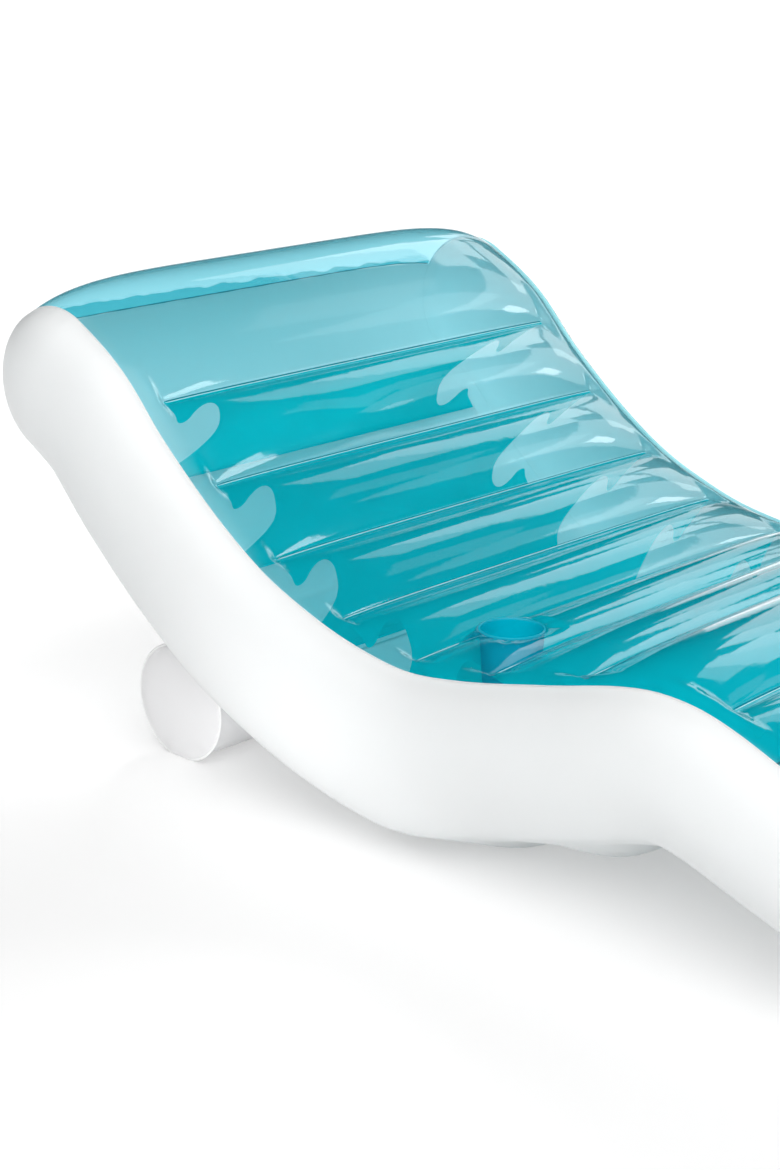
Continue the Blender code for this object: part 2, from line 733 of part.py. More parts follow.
def frame_on(origin, normal, up):
    """Frame with Z along the normal and X as close to up as it can be."""
    x = (up - normal * up.dot(normal)).normalized()
    made = Matrix((x, normal.cross(x), normal)).transposed().to_4x4()
    made.translation = origin
    return made


def body_valve_place(rows):
    """On the crown of the base channel after the first weld, its Z out of the body."""
    crown = NOSE_STEPS + HEAD_STEPS + len(CHANNEL_STEP_SHARES) // 2
    row = rows[crown]
    corners = [r.point + r.normal * base_height(r, BODY_VALVE_SIDE) for r in rows[crown:crown + 2]]
    along = (corners[1] - corners[0]).normalized()
    normal = Vector((0, along.y, -along.x))
    if normal.yz.dot(row.normal) < 0:
        normal = -normal
    middle = (corners[0] + corners[1]) / 2
    origin = Vector((BODY_VALVE_SIDE, middle.x, middle.y)) + normal * GAP
    return frame_on(origin, normal, Vector((0, 0, 1)))


def roll_valve_place():
    face = Vector((ROLL_HALF_LENGTH + ROLL_DOME + GAP, ROLL_CENTRE.x, ROLL_CENTRE.y))
    return frame_on(face, Vector((1, 0, 0)), Vector((0, 0, 1)))


def build():
    clear_scene()
    teal_film = material("teal clear vinyl film", (0.24, 0.62, 0.70), 0.12)
    teal_web = material("teal web film", (0.00, 0.42, 0.53), 0.30)
    white_film = material("white vinyl film", (0.86, 0.87, 0.88), 0.35)
    cup_plastic = material("blue moulded vinyl", (0.00, 0.36, 0.58), 0.20)
    valve_vinyl = material("clear white moulded vinyl", (0.80, 0.84, 0.86), 0.30)

    deck_rows = rows_of(1, DECK_PUFF, HEAD_PUFF, FOOT_PUFF)
    base_rows = rows_of(-1, BASE_PUFF, TIP_PUFF, FOOT_PUFF)
    deck = film_panel("deck_film", deck_rows, deck_height, teal_film)
    base = film_panel("base_film", base_rows, base_height, white_film)
    side_wall("side_wall_near", deck_rows, base_rows, -1, white_film)
    side_wall("side_wall_far", deck_rows, base_rows, 1, white_film)
    for index in range(WEB_COUNT):
        web(index, teal_web)
    cup_holder(deck, cup_plastic)
    far_disc = roll(white_film)
    valve("body", body_valve_place(base_rows), base, valve_vinyl)
    valve("roll", roll_valve_place(), far_disc, valve_vinyl)


build()
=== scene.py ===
from math import atan2, cos, pi, radians, sin, sqrt, tan

import bmesh
import bpy
import numpy as np
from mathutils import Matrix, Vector, geometry


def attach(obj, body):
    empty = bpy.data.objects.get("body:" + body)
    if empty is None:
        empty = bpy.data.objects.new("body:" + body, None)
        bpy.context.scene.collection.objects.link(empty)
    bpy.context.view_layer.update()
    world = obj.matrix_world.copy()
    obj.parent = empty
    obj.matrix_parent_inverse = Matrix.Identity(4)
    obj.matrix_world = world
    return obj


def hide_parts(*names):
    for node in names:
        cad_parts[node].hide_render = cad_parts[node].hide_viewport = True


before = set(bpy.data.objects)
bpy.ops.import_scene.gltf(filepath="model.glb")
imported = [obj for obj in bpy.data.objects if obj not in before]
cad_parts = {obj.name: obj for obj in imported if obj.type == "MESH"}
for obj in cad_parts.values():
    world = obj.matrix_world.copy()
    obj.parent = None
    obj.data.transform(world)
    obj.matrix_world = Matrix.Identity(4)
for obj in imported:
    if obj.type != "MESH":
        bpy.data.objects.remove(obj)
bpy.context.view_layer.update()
print("frame loaded:", len(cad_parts), "solids")

# Everything is in metres. +X is the far side, +Y the head end, +Z up.

camera = {
    "place": (-2.340, -1.628, 1.194),
    "azimuth": -46.447,  # degrees, 0 looks along +Y
    "elevation": 17.694,  # degrees above the horizon
    "lens": 67.69,  # mm, on a 36 mm long side
    "sensor": 36.0,
    "clip": (0.05, 200),
}


def addObject(name, data):
    made = bpy.data.objects.new(name, data)
    bpy.context.scene.collection.objects.link(made)
    return made


def lookAlong(made, way):  # a camera or lamp looks along its own -Z
    made.rotation_mode = "QUATERNION"
    made.rotation_quaternion = way.to_track_quat("-Z", "Y")


def addCamera():
    made = addObject("studioCamera", bpy.data.cameras.new("studioCamera"))
    turn, tilt = radians(camera["azimuth"]), radians(camera["elevation"])
    back = Vector((sin(turn) * cos(tilt), -cos(turn) * cos(tilt), sin(tilt)))
    made.location = camera["place"]
    lookAlong(made, -back)
    made.data.lens = camera["lens"]
    made.data.sensor_width = camera["sensor"]
    made.data.clip_start, made.data.clip_end = camera["clip"]
    bpy.context.scene.camera = made


addCamera()
print("camera set")

# Side outline: the spine runs half way between deck and base, from the head's nose to the foot's

body = {
    "length": 1.91,
    "width": 0.99,
    "height": 0.66,
    "wallBulge": 0.0537,  # how far a side wall swells past its seams
    "headDepth": 0.1152,  # deck to base, as a share of the length
    "footDepth": 0.0974,
    "thinning": (0.45, 0.85),  # the depth changes between these shares of the way to the foot
    "clearance": 0.025,  # base weld lines above the ground where the body rests
    "webCount": 10,
    "firstWeb": 0.0787,  # shares of the spine's length from its two ends
    "lastWeb": 0.1291,
    "webLean": radians(5),
    "weldMargin": 0.036,  # from a weld's end to the side seam
    "weldBand": 0.0034,  # half the width of a weld
    "headPuff": 0.0345,
    "tipPuff": 0.018,
    "footPuff": 0.018,
    "deckPuff": 0.170,  # swell of a channel, as a share of its pitch
    "basePuff": 0.276,
    "weldBow": 0.0045,  # the deck's welds bow outwards between their ends
    "bowPower": 5,
    "roundness": 0.75,
    "crownShare": 0.92,  # past a weld's end the film rises to this share of the crown
    "release": 0.018,  # over this length
    "rowCrowding": 1.6,  # rows lie closer towards the first and last weld
    "sidePower": 6,
    "basePower": 4,  # the base film's bellies taper off towards its seams
    "sideRoundness": 0.8,
    "gap": 0.0003,
    "seamLift": 0.024,  # the base seam rides up where the base film bellies out under seat and foot
    "seamLiftSpan": (0.42, 0.53, 0.84, 0.95),
    "seamLiftFrom": 0.8,  # share of the way to a weld's end where the film starts to rise with it
    "spine": (  # share of the way to the head, share of the rise to its nose
        (1.000, 1.000), (0.957, 0.881), (0.913, 0.683), (0.858, 0.472), (0.798, 0.286),
        (0.743, 0.166), (0.675, 0.065), (0.601, 0.013), (0.531, 0.040), (0.448, 0.130),
        (0.383, 0.217), (0.349, 0.239), (0.314, 0.213), (0.255, 0.128), (0.185, 0.038),
        (0.109, 0.003), (0.000, 0.000),
    ),
}
seamX = body["width"] / 2 - body["wallBulge"] - body["gap"]
weldX = seamX - body["weldMargin"]
headDepth = body["length"] * body["headDepth"]
footDepth = body["length"] * body["footDepth"]
headY = body["length"] / 2 - body["tipPuff"] - headDepth / 2
headZ = body["height"] - body["headPuff"] - headDepth / 2
footY = -body["length"] / 2 + body["footPuff"] + footDepth / 2


def ease(value):
    value = np.clip(value, 0.0, 1.0)
    return value * value * (3 - 2 * value)


def depthAt(y):
    low, high = body["thinning"]
    way = (headY - y) / (headY - footY)
    return headDepth + (footDepth - headDepth) * float(ease((way - low) / (high - low)))


def spineCorner(along, rise):
    y = footY + along * (headY - footY)
    low = body["clearance"] + depthAt(y) / 2
    return np.array((y, low + rise * (headZ - low)))


def smoothLine(corners, steps):  # an even curve through its corners
    made = []
    for k in range(len(corners) - 1):
        a, b, c, d = (np.array(corners[min(max(k + n, 0), len(corners) - 1)]) for n in (-1, 0, 1, 2))
        for step in range(steps):
            t = step / steps
            bend = (2 * a - 5 * b + 4 * c - d) * t ** 2 + (3 * b - a - 3 * c + d) * t ** 3
            made.append(b + ((c - a) * t + bend) / 2)
    return made + [np.array(corners[-1])]


def stepsAlong(points):  # running length at each point of a line
    return np.concatenate([[0], np.cumsum(np.linalg.norm(np.diff(points, axis=0), axis=1))])


spine = np.array(smoothLine([spineCorner(*corner) for corner in body["spine"]], 24))
spineLengths = stepsAlong(spine)
spineLength = float(spineLengths[-1])
firstWeb = spineLength * body["firstWeb"]
webPitch = (spineLength * (1 - body["lastWeb"]) - firstWeb) / (body["webCount"] - 1)
webs = [firstWeb + webPitch * index for index in range(body["webCount"])]


def onSpine(s, reach=0.014):  # centre, direction to the foot, normal to the deck
    s = min(max(s, 0.0), spineLength)
    centre, before, after = (
        np.array([np.interp(at, spineLengths, spine[:, k]) for k in (0, 1)])
        for at in (s, max(s - reach, 0.0), min(s + reach, spineLength))
    )
    ahead = (after - before) / np.linalg.norm(after - before)
    return centre, ahead, np.array((ahead[1], -ahead[0]))


def weldS(index, side):
    centre = onSpine(webs[index])[0]
    return webs[index] - side * tan(body["webLean"]) * depthAt(centre[0]) / 2


# A row is a line across the film: its place and outward normal at the side outline, its swell in the middle,
# the crown that this swell belongs to, and how far the welds' bow takes part in it

def bodyRow(s, side, swell=0.0, crown=0.0, bow=0.0, out=None):
    centre, _, normal = onSpine(s)
    out = normal * side if out is None else out
    at = centre + out * depthAt(centre[0]) / 2
    return {"at": at, "out": out, "swell": swell, "crown": crown, "bow": bow, "s": s}


def noseRow(s, forward, side, angle, swell):
    _, ahead, normal = onSpine(s)
    out = ahead * forward * cos(angle) + normal * side * sin(angle)
    return bodyRow(s, side, swell, swell, 0.0, out)


def rowAlong(row):  # direction along the film, square to a row
    return np.array((-row["out"][1], row["out"][0]))


def endSwell(share, tip, crown):
    if share < 0.5:
        return tip + (crown - tip) * sin(pi * share)
    return crown * max(1 - (2 * share - 1) ** 2, 0) ** body["roundness"]


def endRow(s, side, share, tip, crown, channel):  # between a nose and the first or last weld
    swell = endSwell(min(share, 1), tip, crown)
    toWeld = min(max(2 * share - 1, 0), 1) ** 2
    crownHere = (crown + (channel - crown) * toWeld) * min(2 * toWeld, 1)
    return bodyRow(s, side, swell, max(swell, crownHere), toWeld ** 2)


bandShare = body["weldBand"] / webPitch


def channelShares(steps):  # fine near the welds, with two rows on each weld's own edges
    inner = [(1 - cos(pi * k / steps)) / 2 for k in range(steps + 1)]
    return [0.0] + [bandShare + (1 - 2 * bandShare) * v for v in inner]


def channelProfile(share):
    t = min(max((share - bandShare) / (1 - 2 * bandShare), 0), 1)
    return sin(pi * t) ** body["roundness"]


def filmRows(side, channelPuff, headPuff, steps=24, endSteps=40):
    # rows from the head's tip to the foot's, along the deck (side 1) or the base (side -1)
    band = body["weldBand"]
    first, last = weldS(0, side), weldS(body["webCount"] - 1, side)

    def endRows(end, forward, reach, tip, crown):  # from a nose's tip to the edge of the nearest weld
        arc = depthAt(onSpine(end)[0][0]) / 2 * pi / 2
        made = []
        for k in range(endSteps):
            share = k / endSteps
            swell = endSwell(share * arc / (arc + reach), tip, crown)
            made.append(noseRow(end, forward, side, pi / 2 * share, swell))
        for k in range(endSteps):
            along = (reach - band) * (1 - (1 - k / endSteps) ** body["rowCrowding"])
            share = (arc + along) / (arc + reach - band)
            made.append(endRow(end - forward * along, side, share, tip, crown, channelPuff))
        return made

    rows = endRows(0, -1, first, body["tipPuff"], headPuff)
    rows.append(bodyRow(first - band, side, 0.0, channelPuff, 1.0))
    for index in range(body["webCount"] - 1):
        start, end = weldS(index, side), weldS(index + 1, side)
        for share in channelShares(steps):
            profile = channelProfile(share)
            rows.append(bodyRow(start + (end - start) * share, side, channelPuff * profile, channelPuff, 1 - profile))
    rows += [bodyRow(last + lay, side, 0.0, channelPuff, 1.0) for lay in (0, band)]
    return rows + endRows(spineLength, 1, spineLength - last, body["footPuff"], body["footPuff"])[::-1]


def fallAt(x, power=body["sidePower"]):  # from the middle down to the side seams
    return (1 - np.minimum(np.abs(x) / seamX, 1) ** power) ** body["sideRoundness"]


def swellAt(row, x, power=body["sidePower"]):  # how far the film stands off the side outline
    free = ease((np.abs(x) - weldX) / body["release"])  # past its end the weld lets go of the film
    return fallAt(x, power) * (row["swell"] + (row["crown"] - row["swell"]) * body["crownShare"] * free)


def bowAt(x):
    return body["weldBow"] * (1 - np.minimum(np.abs(x) / weldX, 1) ** body["bowPower"])


deckPuff = webPitch * body["deckPuff"]
basePuff = webPitch * body["basePuff"]
deckRows = filmRows(1, deckPuff, body["headPuff"])
baseRows = filmRows(-1, basePuff, body["tipPuff"])


def liftShare(x):  # from none at the middle to all of it at the seam
    start = body["seamLiftFrom"] * weldX
    return ease((np.abs(x) - start) / (seamX - start))


def seamLiftAt(s):
    low, full, fade, end = (v * spineLength for v in body["seamLiftSpan"])
    return body["seamLift"] * float(ease((s - low) / (full - low)) * ease((end - s) / (end - fade)))


for row in deckRows:
    row["lift"], row["seam"] = 0.0, row["at"]
for row in baseRows:
    row["lift"] = seamLiftAt(row["s"])
    row["seam"] = row["at"] - row["out"] * row["lift"]

# The roll's place comes from its strip: it stands on the ground just clear of the base

roll = {
    "web": 3,  # hangs under this web's base weld
    "strip": 0.0257,
    "clearance": 0.006,
    "margin": 0.020,  # from its end to the side seam
    "dome": 0.008,
    "ring": 0.0010,  # half the thickness of the flange round each end
    "ringHigh": 0.0024,
    "sides": 96,
    "cadSides": 36,
    "halvings": 26,  # of the search for its radius and place
}


def rollCentre(radius, outline):
    z = radius * cos(pi / roll["cadSides"])
    far, near = body["length"] / 2, 0.0
    for step in range(roll["halvings"]):
        y = (far + near) / 2
        clear = np.linalg.norm(outline - (y, z), axis=1).min() > radius + roll["clearance"]
        far, near = (y, near) if clear else (far, y)
    return np.array((far, z))


def rollFit():
    outline = np.array([bodyRow(s, -1)["at"] for s in np.linspace(webs[0], webs[roll["web"]], 101)])
    weld = bodyRow(weldS(roll["web"] - 1, -1), -1)["at"]
    small, large = 0.0, headDepth
    for step in range(roll["halvings"]):
        radius = (small + large) / 2
        centre = rollCentre(radius, outline)
        past = centre[0] > weld[0] and np.linalg.norm(centre - weld) - radius > roll["strip"]
        small, large = (small, radius) if past else (radius, large)
    return large, rollCentre(large, outline)


rollRadius, rollAt = rollFit()
print("roll radius", round(rollRadius, 4), "at", rollAt.round(4))


def baseSwell(row, x):  # stopped by the roll and pressed flat by the ground
    swell = swellAt(row, x, body["basePower"])
    toRow = row["at"] - rollAt
    inward = -float(toRow @ row["out"])
    reach = inward ** 2 - float(toRow @ toRow) + (rollRadius + roll["clearance"]) ** 2
    if inward > 0 and reach > 0:
        swell = np.minimum(swell, max(inward - sqrt(reach), 0))
    if row["out"][1] < 0:
        swell = np.minimum(swell, row["at"][1] / -row["out"][1])
    return swell - row["lift"] * liftShare(x)


# Meshes

def linear(hexColour):  # sRGB hex to the linear values that a shader takes
    values = [int(hexColour[i:i + 2], 16) / 255 for i in (1, 3, 5)]
    return [v / 12.92 if v <= 0.04045 else ((v + 0.055) / 1.055) ** 2.4 for v in values] + [1.0]


def addPiece(name, points, faces, finish, replaced=(), slot=None, kinds=None):
    # finish is one material or several, and kinds then gives each face its own
    mesh = bpy.data.meshes.new(name)
    mesh.from_pydata([tuple(float(v) for v in p) for p in points], [], [tuple(int(i) for i in f) for f in faces])
    for one in finish if isinstance(finish, (list, tuple)) else [finish]:
        mesh.materials.append(one)
    if kinds is not None:
        mesh.polygons.foreach_set("material_index", list(kinds))
    mesh.validate()
    mesh.shade_smooth()
    made = addObject(name, mesh)
    if replaced:
        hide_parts(*replaced)
    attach(made, "chair")
    return made


def acrossColumns():  # columns across the film, finer by the weld ends and the seams
    edge = seamX * np.array((
        1.0, 0.9975, 0.993, 0.987, 0.98, 0.972, 0.964, 0.956, 0.948, 0.94,
        0.932, 0.924, 0.916, 0.905, 0.89, 0.87, 0.845, 0.815, 0.78, 0.74,
    ))
    return np.concatenate([-edge, np.linspace(-0.70, 0.70, 33) * seamX, edge[::-1]])


def creases(seed, spans, count, depth, width, reach):
    rng = np.random.default_rng(seed)
    places = np.concatenate([rng.uniform(low, high, count) for low, high in spans])
    return list(zip(places, *(rng.uniform(*span, len(places)) for span in (depth, width, reach))))


def creaseDepth(made, along, away):
    # total dent of a set of creases that run in from a seam, at places along it and away from it
    total = np.zeros(np.broadcast(along, away).shape)
    for at, depth, width, reach in made:
        if np.ndim(along) == 0 and abs(along - at) > 3 * width:
            continue
        across = np.exp(-((along - at) / width) ** 2)
        inward = (1 - np.exp(-(away / 0.003) ** 2)) * np.exp(-(away / reach) ** 2)
        total = total + depth * across * inward
    return total


def gridFaces(wide, long, start=0):
    faces = []
    for i in range(long - 1):
        for j in range(wide - 1):
            a = start + i * wide + j
            faces.append((a, a + 1, a + wide + 1, a + wide))
    return faces


def sweptFaces(sides, rings, start=0, closed=False, caps=True):  # a closed section along an open or closed path
    faces = []
    for i in range(rings if closed else rings - 1):
        low, high = start + i * sides, start + (i + 1) % rings * sides
        faces += [(low + j, low + (j + 1) % sides, high + (j + 1) % sides, high + j) for j in range(sides)]
    if caps and not closed:
        last = start + (rings - 1) * sides
        faces += [tuple(range(start, start + sides))[::-1], tuple(range(last, last + sides))]
    return faces


def beadRing(x, centre, row, wide, high, sides):  # one ring of a bead that runs across the film
    angles = [2 * pi * k / sides for k in range(sides)]
    return [(x, *(centre + rowAlong(row) * cos(a) * wide + row["out"] * sin(a) * high)) for a in angles]


# Small shapes that pressure and the welds give the deck

deckMarks = {
    "creases": creases(21, [(0, spineLength)], 34, (0.00005, 0.00022), (0.007, 0.015), (0.010, 0.024)),
    "ripple": 0.0002,  # ripples that fan out from each weld's end
    "rippleReach": 0.016,
    "ripples": 5,  # round the weld's end
    "pillows": (  # slack above a weld: which, place across, height, reach across, reach along
        (1, -0.100, 0.0085, 0.080, 0.040), (3, 0.020, 0.0016, 0.090, 0.030), (6, 0.190, 0.0020, 0.080, 0.026),
    ),
    "pillowRise": 0.024,  # from the weld to the middle of the slack
}


def deckHeight(row, x):
    height = swellAt(row, x) + row["bow"] * bowAt(x)
    away = seamX - np.abs(x)
    height = height - creaseDepth(deckMarks["creases"], row["s"], away) * (1 - 0.6 * row["bow"])
    for index in range(body["webCount"]):
        along = row["s"] - weldS(index, 1)
        if abs(along) < 0.06:  # further off nothing is left of them
            for hand in (-1, 1):
                over = hand * x - weldX
                reach = np.hypot(over, along) / deckMarks["rippleReach"]
                fan = np.sin(deckMarks["ripples"] * np.arctan2(along, over) + index + hand)
                fade = reach * np.exp(1 - reach) * np.minimum(away / 0.01, 1)
                height = height + deckMarks["ripple"] * fan * fade
    for index, place, lift, reachX, reachS in deckMarks["pillows"]:
        along = (row["s"] - (weldS(index, 1) - deckMarks["pillowRise"])) / reachS
        if abs(along) < 3:
            height = height + lift * np.exp(-along ** 2 - ((x - place) / reachX) ** 2) * (1 - row["bow"])
    return height


# Cup holder: a soft moulding whose flange is welded under the film

cup = {
    "fromSeam": 0.166,
    "channel": 5,
    "channelShare": 0.41,
    "raise": 0.020,  # above the seams' height there
    "mouth": 0.0415,
    "foot": 0.0360,
    "depth": 0.090,
    "wall": 0.0012,
    "flange": 0.0452,
    "sides": 96,
    "opening": 0.078,  # half the width of the deck that is drawn in rings round the cup
    "rings": 16,
    "flatRings": 4,  # of these lie on the flange
    "filmLift": 0.0016,  # above the flange's underside
    "pucker": 0.0008,  # height of the film's small waves round the flange
}
cupX = cup["fromSeam"] - seamX


def cupPlace():
    start, end = weldS(cup["channel"] - 1, 1), weldS(cup["channel"], 1)
    level = bodyRow((start + end) / 2, 1)["at"][1] + cup["raise"]
    return np.array((cupX, bodyRow(start + (end - start) * cup["channelShare"], 1)["at"][0], level))


cupAt = cupPlace()
print("cup at", cupAt.round(4))


def filmPoints(rows, columns, heightAt):
    made = []
    for row in rows:
        height = heightAt(row, columns)
        made.append(np.column_stack([columns, *(row["at"][k] + row["out"][k] * height for k in (0, 1))]))
    return np.array(made)


def deckMesh():
    columns = acrossColumns()
    grid = filmPoints(deckRows, columns, deckHeight)
    # the grid opens round the cup, short of the welds beside it, and rings run from the cup out to the opening
    start, end = weldS(cup["channel"] - 1, 1), weldS(cup["channel"], 1)
    near = [i for i, row in enumerate(deckRows) if start + 0.002 < row["s"] < start + (end - start) * 0.93]
    across = [j for j, x in enumerate(columns) if abs(x - cupX) <= cup["opening"]]
    i0, i1, j0, j1 = near[0], near[-1], across[0], across[-1]
    wide, long = len(columns), len(deckRows)
    faces = []
    for i in range(long - 1):
        for j in range(wide - 1):
            if not (i0 <= i < i1 and j0 <= j < j1):
                a = i * wide + j
                faces.append((a, a + wide, a + wide + 1, a + 1))
    loop = [(i0, j) for j in range(j0, j1)] + [(i, j1) for i in range(i0, i1)]
    loop += [(i1, j) for j in range(j1, j0, -1)] + [(i, j0) for i in range(i1, i0, -1)]
    points = list(grid.reshape(-1, 3))
    rim = []
    for i, j in loop:
        away = grid[i, j] - cupAt
        angle = atan2(away[1], away[0])
        rim.append((angle, np.array((cos(angle), sin(angle), 0)), grid[i, j], i * wide + j))
    rings, flat, lift = cup["rings"], cup["flatRings"], cup["filmLift"]
    edge = 0.001  # the weld ends this far inside the flange's rim

    def filmLevel(x, y):  # height of the film as it would run over the opening
        j = min(max(int(np.searchsorted(columns, x)) - 1, j0), j1 - 1)
        t = (x - columns[j]) / (columns[j + 1] - columns[j])
        a, b = (np.interp(-y, -grid[i0:i1 + 1, k, 1], grid[i0:i1 + 1, k, 2]) for k in (j, j + 1))
        return a + (b - a) * t

    ringStart = len(points)
    for k in range(rings):
        for angle, way, outer, _ in rim:
            if k < flat:  # the weld ring lies flat on the flange
                radius = cup["mouth"] + 2 * edge + (cup["flange"] - cup["mouth"] - edge) * k / (flat - 1)
                points.append(cupAt + way * radius + (0, 0, lift))
                continue
            g = (k - flat + 1) / (rings - flat + 1)
            rimPoint = cupAt + way * (cup["flange"] + edge)
            spot = rimPoint + (outer - rimPoint) * g
            pucker = sin(17 * angle + 1.3 * sin(3 * angle)) * sin(pi * min(g * 1.6, 1))
            level = cupAt[2] + lift
            level += (filmLevel(spot[0], spot[1]) - level) * float(ease(g * 1.25))
            points.append((spot[0], spot[1], level + cup["pucker"] * pucker))
    count = len(rim)
    faces += sweptFaces(count, rings, ringStart, caps=False)
    last = ringStart + (rings - 1) * count
    for n in range(count):
        m = (n + 1) % count
        faces.append((last + n, last + m, rim[m][3], rim[n][3]))
    return points, faces


# Side walls: swelling panels, from both seams onto a crest along the spine

wall = {
    "rings": 18,
    "creaseCount": 150,  # along both seams
    "noseCreases": 20,  # short ones where the panel turns tightly round the head
    "crowding": 1.25,  # rings lie closer towards the seams
    "merge": 0.00005,  # points nearer than this become one
}


def wallMesh(hand):
    crest = [onSpine((a["s"] + b["s"]) / 2)[0] for a, b in zip(deckRows, baseRows)]
    outline = [(row["seam"], n) for n, row in enumerate(deckRows)]
    outline += [(row["seam"], n) for n, row in enumerate(baseRows)][-2:0:-1]
    lengths = stepsAlong([edge for edge, row in outline + outline[:1]])
    rings, whole = wall["rings"], lengths[-1]
    noses = [(0.0, 0.30), (whole - 0.22, whole)]
    dents = [
        creases(12 + hand, [(0, whole)], wall["creaseCount"], (0.0003, 0.0010), (0.005, 0.012), (0.012, 0.040)),
        creases(15 + hand, noses, wall["noseCreases"], (0.0008, 0.0019), (0.0035, 0.006), (0.010, 0.022)),
    ]
    count = len(outline)
    points, faces = [], []
    for ring in range(rings):
        angle = pi / 2 * (ring / rings) ** wall["crowding"]
        bulge = body["wallBulge"] * sin(angle)
        for n, (edge, row) in enumerate(outline):
            reach = edge - crest[row]
            place = crest[row] + reach * cos(angle)
            points.append((bulge, *place, lengths[n], np.linalg.norm(reach) * (1 - cos(angle)) + bulge))
    points = np.array(points)
    for made in dents:
        points[:, 0] -= creaseDepth(made, points[:, 3], points[:, 4]) * np.minimum(points[:, 4] / 0.004, 1)
    points[:, 0] = np.maximum(points[:, 0], 0)
    top = len(points)
    points = [np.array((hand * (seamX + body["gap"] + p[0]), p[1], p[2])) for p in points]
    points += [np.array((hand * (seamX + body["gap"] + body["wallBulge"]), c[0], c[1])) for c in crest]
    for ring in range(rings):
        for n in range(count):
            m = (n + 1) % count
            a, b = ring * count + n, ring * count + m
            c, d = (b + count, a + count) if ring < rings - 1 else (top + outline[m][1], top + outline[n][1])
            faces.append((a, b, c, d) if hand < 0 else (b, a, d, c))
    made = bmesh.new()
    for p in points:
        made.verts.new(p)
    made.verts.ensure_lookup_table()
    for f in faces:
        made.faces.new([made.verts[i] for i in dict.fromkeys(f)])
    bmesh.ops.remove_doubles(made, verts=made.verts[:], dist=wall["merge"])
    made.verts.index_update()
    result = [v.co.copy() for v in made.verts], [[v.index for v in f.verts] for f in made.faces]
    made.free()
    return result


# Webs: the cross films that hold the deck to the base

web = {
    "notch": (  # C-shaped notch in each end: share of its depth, share of half the height
        (0.00, 0.00), (0.12, 0.16), (0.25, 0.34), (0.34, 0.51), (0.39, 0.55), (0.44, 0.53),
        (0.47, 0.47), (0.49, 0.37), (0.54, 0.27), (0.61, 0.24), (0.70, 0.29), (0.81, 0.44),
        (0.91, 0.66), (0.975, 0.84), (1.00, 1.00),
    ),
    "notchDepth": 0.157,
    "flange": 0.003,  # half the width of the strip that is welded to each film
    "flangeDepth": 0.0011,  # below the film's outside
    "wave": (0.0006, 0.0018),
    "waves": 5,
}


def webMesh(index):  # pulled tight between its two welds, a little wavy
    ends = [bodyRow(weldS(index, side), side)["at"] for side in (1, -1)]
    middle, up = (ends[0] + ends[1]) / 2, ends[0] - ends[1]
    half = np.linalg.norm(up) / 2 - 0.0012  # clear of both films
    up = up / np.linalg.norm(up)
    thin = np.array((up[1], -up[0]))
    upper = [(weldX - web["notchDepth"] * u, half * (1 - v)) for u, v in smoothLine(web["notch"], 4)]
    right = upper + [(x, -z) for x, z in upper[-2::-1]]
    outline = right + [(-x, z) for x, z in right[::-1]]
    inner = [(x, z) for z in np.linspace(-half, half, 15)[1:-1] for x in np.linspace(-weldX, weldX, 61)]
    corners = [Vector(p) for p in outline + inner]
    edges = [(n, (n + 1) % len(outline)) for n in range(len(outline))]
    shape = [list(range(len(outline)))]
    points, _, faces, *_ = geometry.delaunay_2d_cdt(corners, edges, shape, 1, 0.0008)
    flat = np.array([tuple(p) for p in points])
    rng = np.random.default_rng(40 + index)
    wave = np.zeros(len(flat))
    for n in range(web["waves"]):
        size = rng.uniform(*web["wave"])
        wave += size * np.sin(flat[:, 0] * rng.uniform(9, 34) + flat[:, 1] * rng.uniform(-30, 30) + rng.uniform(0, 6))
    wave *= 1 - (flat[:, 1] / half) ** 2
    height = (flat[:, 1] / half + 1) / 2
    lift = seamLiftAt(weldS(index, -1))
    rise = flat[:, 1] + bowAt(flat[:, 0]) * ease(height) + lift * liftShare(flat[:, 0]) * (1 - height)
    spots = list(np.column_stack([flat[:, 0], *(middle[k] + up[k] * rise + thin[k] * wave for k in (0, 1))]))
    faces = [tuple(f) for f in faces]
    for side in (1, -1):  # both flanges, welded to the deck and the base
        row = bodyRow(weldS(index, side), side)
        start = len(spots)
        xs = np.linspace(-weldX, weldX, 60)
        for k in (1, -1):
            for x in xs:
                level = (bowAt(x) if side > 0 else -lift * liftShare(x)) - web["flangeDepth"]
                spots.append((x, *(row["at"] + row["out"] * level + rowAlong(row) * web["flange"] * k)))
        faces += gridFaces(len(xs), 2, start)
    return spots, faces


# Weld lines: film squeezed out along both edges of each of the deck's welds, dense on the head side, pale on the
# other; the pale bead's near-white colour is a painted highlight along the weld's edge

weldLine = {
    "width": 0.0022,
    "height": 0.0013,
    "beads": ((-0.0022, 0.0004, 1.0, 0), (-0.0003, 0.0008, 0.58, 1)),  # place, lift, size, and 0 dense or 1 pale
    "sides": 8,
    "taper": 0.012,  # length over which its ends thin out
}


def weldLineMesh():
    points, faces, kinds = [], [], []
    xs = np.linspace(-weldX, weldX, 121)
    for index in range(body["webCount"]):
        for offset, lift, size, kind in weldLine["beads"]:
            row = bodyRow(weldS(index, 1) + offset, 1)
            start = len(points)
            for x in xs:
                half = size * min(1.0, 0.25 + (weldX - abs(x)) / weldLine["taper"]) / 2
                centre = row["at"] + row["out"] * (bowAt(x) + lift)
                wide, high = weldLine["width"] * half, weldLine["height"] * half
                points += beadRing(x, centre, row, wide, high, weldLine["sides"])
            made = sweptFaces(weldLine["sides"], len(xs), start)
            faces += made
            kinds += [kind] * len(made)
    return points, faces, kinds


# Seams: deck, base and walls meet in flanges that stand out and have a beaded edge

seam = {
    "width": {-1: 0.0019, 1: 0.0048},  # the near seam is turned in further than the far one
    "thick": 0.0007,
    "bead": 0.0013,
    "under": 0.30,  # the base seam's share of that width
    "lean": radians(40),  # from level, towards the film's outside
}


